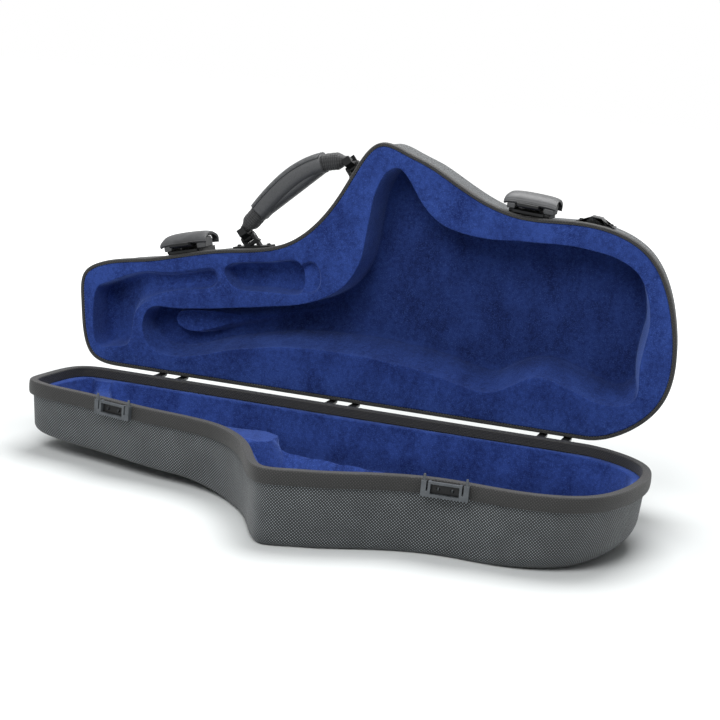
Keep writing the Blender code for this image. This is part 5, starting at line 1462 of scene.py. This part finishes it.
@dataclass(frozen=True)
class Handle:
    """The carrying handle: a webbing core, a padded leather sleeve and a stitched flap over it.

    Every piece is a rounded oval carried along one arched centre line. Across the handle the oval
    is |y/h|^p + |z/w|^p = 1 with p = 2.6. Places along it are shares of the distance between its
    pivots.
    """

    rise: float = 0.026
    bar_rise: float = 0.0104
    bar_shift: float = 0.003
    lean: tuple = (1.0, 0.35)
    centre_shares: tuple = ((0.14, 0.56), (0.28, 0.75), (0.44, 0.92), (0.60, 1.00), (0.75, 0.93),
                            (0.88, 0.69))
    power: float = 2.6
    points: int = 64
    core_height: float = 0.0090
    core_width: float = 0.0108
    eye_height: float = 0.0050
    eye_width: float = 0.0076
    eye_share: float = 0.07
    rib_pitch: float = 0.0048
    rib_share: float = 0.030
    grip_shares: tuple = (0.16, 0.84)
    half_height: float = 0.0115
    half_width: float = 0.0150
    hem: float = 0.0016
    notch_share: float = 0.016
    flap_thickness: float = 0.0009
    flap_angle: float = math.radians(64)
    flap_share: float = 0.004
    point_share: float = 0.020
    stitch_pitch: float = 0.0036
    stitch_shares: tuple = (0.010, 0.024)
    stitch_lift: float = 0.0011
    stitch_half: float = 0.0013
    thread_radius: float = 0.00032
    web_outline: tuple = ((-0.0105, -0.0090), (0.0105, -0.0090), (0.0080, -0.0047),
                          (-0.0080, -0.0047))
    web_half: float = 0.0040

    def span(self) -> float:
        """Distance between the two pivots, from the middles of their pins."""
        ends = [sum(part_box(f"handle_{side}_pin"), Vector()) / 2 for side in SIDES]
        return (ends[1] - ends[0]).length

    def path(self) -> tuple[Array, Array, Array]:
        """Centre line, its unit normals and the share of its length at each point."""
        span = self.span()
        middle = [(along * span, high * self.rise) for along, high in self.centre_shares]
        lean = np.array(self.lean) / math.hypot(*self.lean) * math.sqrt(self.rise)
        curve = spline([(self.bar_shift, self.bar_rise), *middle,
                        (span - self.bar_shift, self.bar_rise)], 24, lean, lean * (1, -1))
        tangent = np.gradient(curve, axis=0)
        tangent /= np.linalg.norm(tangent, axis=1)[:, None]
        lengths = travelled(curve)
        return curve, np.column_stack([-tangent[:, 1], tangent[:, 0]]), lengths / lengths[-1]

    def tube(self, shares: Array, angles: Array, high: Array, wide: Array) -> Array:
        """Points of an oval tube.

        Args:
            shares: place along the centre line, for each (row, column).
            angles: angle round the section, 0 on the outer side.
            high: half height at each point.
            wide: half width at each point.

        Returns:
            (rows, columns, 3) points in the handle's frame.
        """
        curve, normal, lengths = self.path()
        centre, across = (np.stack([np.interp(shares, lengths, line[:, axis]) for axis in (0, 1)],
                                   axis=-1) for line in (curve, normal))
        tangent = np.stack([across[..., 1], -across[..., 0]], axis=-1)
        beyond = np.minimum(0, shares) + np.maximum(0, shares - 1)
        centre = centre + tangent * beyond[..., None] * self.span()
        lift, side = (np.sign(part) * np.abs(part) ** (2 / self.power) * size
                      for part, size in ((np.cos(angles), high), (np.sin(angles), wide)))
        return np.concatenate([centre + across * lift[..., None], side[..., None]], axis=-1)

    def core_size(self, shares: Array) -> tuple[Array, Array]:
        """Half height and half width of the webbing: thin at the eyes, full inside the sleeve."""
        rise = ease(np.minimum(shares, 1 - shares) / self.eye_share)
        return (self.eye_height + (self.core_height - self.eye_height) * rise,
                self.eye_width + (self.core_width - self.eye_width) * rise)

    def sleeve_size(self, shares: Array) -> tuple[Array, Array]:
        """Half height and half width of the sleeve: fuller in the middle."""
        start, end = self.grip_shares
        swell = np.sin(math.pi * np.clip((shares - start) / (end - start), 0, 1))
        return self.half_height * (0.90 + 0.10 * swell), self.half_width * (0.92 + 0.08 * swell)

    def core(self, place: Matrix) -> None:
        """The webbing folded round its padding, closed round at both eyes and lightly ribbed."""
        span = self.span()
        tip = self.eye_height / span
        cap = tip * np.cos(np.linspace(0, math.pi / 2, 7))[:-1]
        shares = np.concatenate([-cap, np.linspace(0, 1, 321), 1 + cap[::-1]])[:, None]
        over = np.maximum(np.maximum(-shares, shares - 1), 0) / tip
        high, wide = self.core_size(np.clip(shares, 0, 1))
        ribs = 1 + self.rib_share * np.abs(np.sin(shares * span / self.rib_pitch * math.pi))
        high = high * np.sqrt(np.maximum(0.02, 1 - over * over)) * ribs
        wide = wide * (1 - 0.12 * over**3)
        shares, angles, high, wide = np.broadcast_arrays(
            shares, np.linspace(0, 2 * math.pi, self.points + 1), high, wide)
        points = self.tube(shares, angles, high, wide)
        surface = Surface("handle_webbing_core")
        surface.grid(points, np.stack([shares * span, angles * self.core_width], axis=-1))
        for row in (points[0, :-1], points[-1, :-1]):
            index = np.arange(len(row))
            surface.add(np.concatenate([row, row.mean(axis=0)[None]]),
                        np.column_stack([0 * index + len(row), index, (index + 1) % len(row)]))
        dress(surface.make(place, 1e-5), FINISHES.webbing, "handle", "handle_webbing")

    def sleeve(self, place: Matrix) -> None:
        """The padded sleeve, with a rolled edge at each end that is notched at its sides."""
        start, end = self.grip_shares
        angles = np.linspace(0, 2 * math.pi, self.points + 1)
        notch = self.notch_share * np.abs(np.sin(angles)) ** 1.5
        turn = np.linspace(0, math.pi / 2, 6)
        edge = self.hem / self.span()
        along, fold = edge * (1 - np.sin(turn)), 1 - np.cos(turn)
        body = np.linspace(start + edge, end - edge, 60)[1:-1]
        shares = np.concatenate([[start], (start + along)[::-1], body, end - along, [end]])[:, None]
        shrink = np.concatenate([[1], fold[::-1], 0 * body, fold, [1]])[:, None]
        grip = np.clip((shares - start) / (end - start), 0, 1)
        shares = shares + notch * (1 - ease(grip / 0.25)) - notch * ease((grip - 0.75) / 0.25)
        high, wide = (size - self.hem * shrink for size in self.sleeve_size(shares))
        angles = np.broadcast_to(angles, shares.shape)
        ends = [-1, 0]
        inner = [size[ends] + SIZE.clearance for size in self.core_size(shares)]
        outer = self.tube(shares, angles, high, wide)
        surface = Surface("handle_sleeve")
        surface.grid(np.concatenate([outer, self.tube(shares[ends], angles[ends], *inner),
                                     outer[:1]]))
        item = dress(surface.make(place, 1e-5), FINISHES.smooth, "handle", "handle_grip")

    def flap(self, place: Matrix) -> None:
        """The pebbled flap over the sleeve's outer side, cut to a blunt point at each end."""
        across = np.linspace(-1, 1, 41)
        point = self.flap_share + self.point_share * np.abs(across) ** 1.2
        along = np.linspace(0, 1, 70)[:, None]
        start, end = self.grip_shares[0] + point, self.grip_shares[1] - point
        shares = start * (1 - along) + end * along
        high, wide = self.sleeve_size(shares)
        edge = (np.minimum(np.minimum(along, 1 - along) * 40, 1)
                * np.minimum((1 - np.abs(across)) * 12, 1))
        proud = 0.0002 + self.flap_thickness * np.sqrt(np.clip(edge, 0, 1))
        surface = Surface("handle_flap")
        surface.grid(self.tube(shares, np.broadcast_to(across * self.flap_angle, shares.shape),
                               high + proud, wide + proud))
        item = surface.sheet(Vector((0, 1, 0)), place)
        wall(item, self.flap_thickness)
        dress(item, FINISHES.pebbled, "handle")

    def seams(self) -> list:
        """Places and angles of the stitches: a row along each side and one across each point."""
        start, end = self.grip_shares
        near, far = self.stitch_shares
        shares = np.linspace(start + far, end - far,
                             int((end - start) * self.span() / self.stitch_pitch))
        across = np.linspace(-0.84, 0.84, 9)
        point = near + self.point_share * np.abs(across) ** 1.2
        return [(shares, 0 * shares - self.flap_angle * 0.90),
                (shares, 0 * shares + self.flap_angle * 0.90),
                (start + point, across * self.flap_angle), (end - point, across * self.flap_angle)]

    def stitches(self, place: Matrix) -> None:
        """Rows of lock stitches 2 mm inside the flap's edges: flat ellipsoids along the seam."""
        theta = np.linspace(0, math.pi, 6)[None, :, None, None]
        phi = np.linspace(0, 2 * math.pi, 9)[None, None, :, None]
        surface = Surface("handle_stitches")
        for shares, angles in self.seams():
            high, wide = self.sleeve_size(shares)
            lift = self.stitch_lift
            middle = self.tube(shares, angles, high + lift, wide + lift)
            up, along = middle - self.tube(shares, angles, high, wide), np.gradient(middle, axis=0)
            up, along = (line / np.linalg.norm(line, axis=1)[:, None] for line in (up, along))
            side, up, along = (line[:, None, None] for line in (np.cross(up, along), up, along))
            ring = (np.cos(phi) * side + np.sin(phi) * up) * self.thread_radius
            ball = np.cos(theta) * along * self.stitch_half + np.sin(theta) * ring
            for grid in middle[:, None, None] + ball:
                surface.grid(grid)
        dress(surface.make(place, 1e-6), FINISHES.thread, "handle")

    def web(self, place: Matrix, side: str, along: float) -> None:
        """The bracket's web between its lugs, below the link's barrel."""
        turn = place @ Matrix.Translation((along, 0, 0)) @ Matrix.Rotation(-math.pi / 2, 4, "Y")
        outline = [(high, -across) for across, high in self.web_outline]
        item = prism(f"handle_{side}_bracket_web", outline, -self.web_half, self.web_half, turn)
        rounded(item, 0.0008)
        dress(item, FINISHES.black, "lid")

    def build(self) -> None:
        """Makes the core, sleeve, flap and stitches and rounds the links and brackets."""
        place = joint_frame("handle_swing", 1, -1)
        self.core(place)
        self.sleeve(place)
        self.flap(place)
        self.stitches(place)
        for side, along in zip(SIDES, (0.0, self.span())):
            self.web(place, side, along)
            polished(f"handle_{side}_link", FINISHES.black, "handle")
            polished(f"handle_{side}_bracket", FINISHES.black, "lid")
            redress(FINISHES.zinc, f"handle_{side}_pin")
            redress(FINISHES.black, f"handle_{side}_screw_a", f"handle_{side}_screw_b")


@dataclass(frozen=True)
class StrapLoop:
    """The webbing bridge for a shoulder strap's hook, on the lid's wall beside the right latch."""

    name: str = "strap_loop_webbing"
    lean: float = 1.02

    def build(self) -> None:
        """Copies the bridge with rounded bends and lays the webbing's ribs along it."""
        data, width = merged("strap_loop", self.name), LID_TURN.to_3x3() @ UPWARDS
        with edited(data) as mesh:
            layer = mesh.loops.layers.uv.get(CLOTH_UV) or mesh.loops.layers.uv.new(CLOTH_UV)
            for face in mesh.faces:
                for loop in face.loops:
                    loop[layer].uv = (loop.vert.co.x * self.lean, loop.vert.co.dot(width))
        item = link(self.name, data)
        rounded(item, 0.0006, 3)
        dress(item, FINISHES.webbing, "lid", "strap_loop")
        redress(FINISHES.black, "strap_loop_rivet_a", "strap_loop_rivet_b")


# Studio

@dataclass(frozen=True)
class SoftBox:
    """A square soft box that stands at a place and is turned towards an aim."""

    name: str
    place: tuple
    aim: tuple
    size: float
    power: float

    def build(self) -> None:
        """Adds the lamp."""
        data = bpy.data.lights.new(self.name, "AREA")
        data.shape, data.size, data.energy = "SQUARE", self.size, self.power
        item = bpy.data.objects.new(self.name, data)
        facing = (Vector(self.place) - Vector(self.aim)).to_track_quat("Z", "Y")
        item.matrix_world = Matrix.Translation(self.place) @ facing.to_matrix().to_4x4()
        bpy.context.scene.collection.objects.link(item)


@dataclass(frozen=True)
class Studio:
    """Pale floor, soft light and the camera of the photograph."""

    azimuth: float = math.radians(-16.40)
    elevation: float = math.radians(11.91)
    roll: float = math.radians(5.09)
    distance: float = 1.830
    target: tuple = (-0.0063, 0.1759, 0.1172)
    lens_mm: float = 86.0
    sensor_mm: float = 36.0
    world_strength: float = 0.18
    floor_colour: str = "#e6e9e9"
    floor_size: float = 14.0
    floor_drop: float = 0.0002
    clear_near: float = 0.40
    clear_far: float = 1.40
    glow: float = 0.9
    lamps: tuple = (SoftBox("key", (0.05, 0.60, 1.90), (0.0, 0.0, 0.1), 1.4, 42.0),
                    SoftBox("front", (-0.08, -1.45, 1.50), (0.0, 0.1, 0.15), 1.1, 27.0))

    def camera(self) -> None:
        """The camera: it looks at the target from its azimuth and elevation, rolled a little."""
        az, el = self.azimuth, self.elevation
        ahead = Vector((math.sin(az) * math.cos(el), math.cos(az) * math.cos(el), -math.sin(el)))
        right = Vector((math.cos(az), -math.sin(az), 0))
        up = right.cross(ahead)
        tilted_right = right * math.cos(self.roll) + up * math.sin(self.roll)
        tilted_up = up * math.cos(self.roll) - right * math.sin(self.roll)
        data = bpy.data.cameras.new("camera")
        data.lens, data.sensor_width, data.sensor_fit = self.lens_mm, self.sensor_mm, "HORIZONTAL"
        item = bpy.data.objects.new("camera", data)
        turn = Matrix((tilted_right, tilted_up, -ahead)).transposed().to_4x4()
        item.matrix_world = Matrix.Translation(Vector(self.target) - ahead * self.distance) @ turn
        bpy.context.scene.collection.objects.link(item)
        bpy.context.scene.camera = item

    def surroundings(self) -> None:
        """An even world: white to the eye and in reflections, softer as a light."""
        world = bpy.data.worlds.new("studio")
        world.use_nodes = True
        bpy.context.scene.world = world
        on = Painter(world.node_tree, world.node_tree.nodes["Background"])
        seen = on.add("LightPath", out="Is Camera Ray")
        for ray in ("Is Glossy Ray", "Is Transmission Ray"):
            seen = on.add("Math", {0: seen, 1: on.add("LightPath", out=ray)}, operation="MAXIMUM")
        strength = on.add("MapRange", {0: seen, 3: self.world_strength, 4: 1.0})
        on.feed(on.shader, {"Color": (1, 1, 1, 1), "Strength": strength})

    def floor(self) -> None:
        """A pale floor that keeps the case's shadow and fades into the white around it."""
        line = np.linspace(-self.floor_size / 2, self.floor_size / 2, 3)
        xs, ys = np.meshgrid(line, line)
        surface = Surface("studio_floor")
        surface.grid(np.stack([xs, ys, np.full_like(xs, -self.floor_drop)], axis=2), flip=True)
        item = surface.sheet(UPWARDS)
        made = bpy.data.materials.new("pale_floor")
        made.use_nodes = True
        on = Painter(made.node_tree, made.node_tree.nodes["Principled BSDF"])
        plan = on.add("VectorMath", {0: on.add("TexCoord", out="Object"), 1: (0.75, 1.0, 0.0)},
                      operation="MULTIPLY")
        away = on.add("VectorMath", {0: plan}, "Value", operation="LENGTH")
        far = on.add("MapRange", {0: away, 1: self.clear_near, 2: self.clear_far, 3: 0.0,
                                  4: self.glow})
        seen = on.add("LightPath", out="Is Camera Ray")
        on.feed(on.shader, {
            "Base Color": linear(self.floor_colour), "Roughness": 0.9, "Specular IOR Level": 0.1,
            "Emission Color": (1, 1, 1, 1),
            "Emission Strength": on.add("Math", {0: far, 1: seen}, operation="MULTIPLY"),
        })
        item.data.materials.append(made)

    def build(self) -> None:
        """Sets up the camera, the world, the floor and the soft boxes."""
        bpy.context.scene.view_settings.view_transform = "Standard"
        self.camera()
        self.surroundings()
        self.floor()
        for lamp in self.lamps:
            lamp.build()


def main() -> None:
    """Builds the studio and every piece in order."""
    logging.basicConfig(level=logging.INFO, format="%(message)s")
    steps = {
        "studio": Studio(), "boards, band and binding": SHELL, "lid lining": lid_lining(),
        "base lining": base_lining(), "left latch and catch": Latch("left"),
        "right latch and catch": Latch("right"), "hinges": Hinges(), "handle": Handle(),
        "strap loop": StrapLoop(),
    }
    for label, step in steps.items():
        step.build()
        LOG.info("%s made", label)


if __name__ == "__main__":
    main()
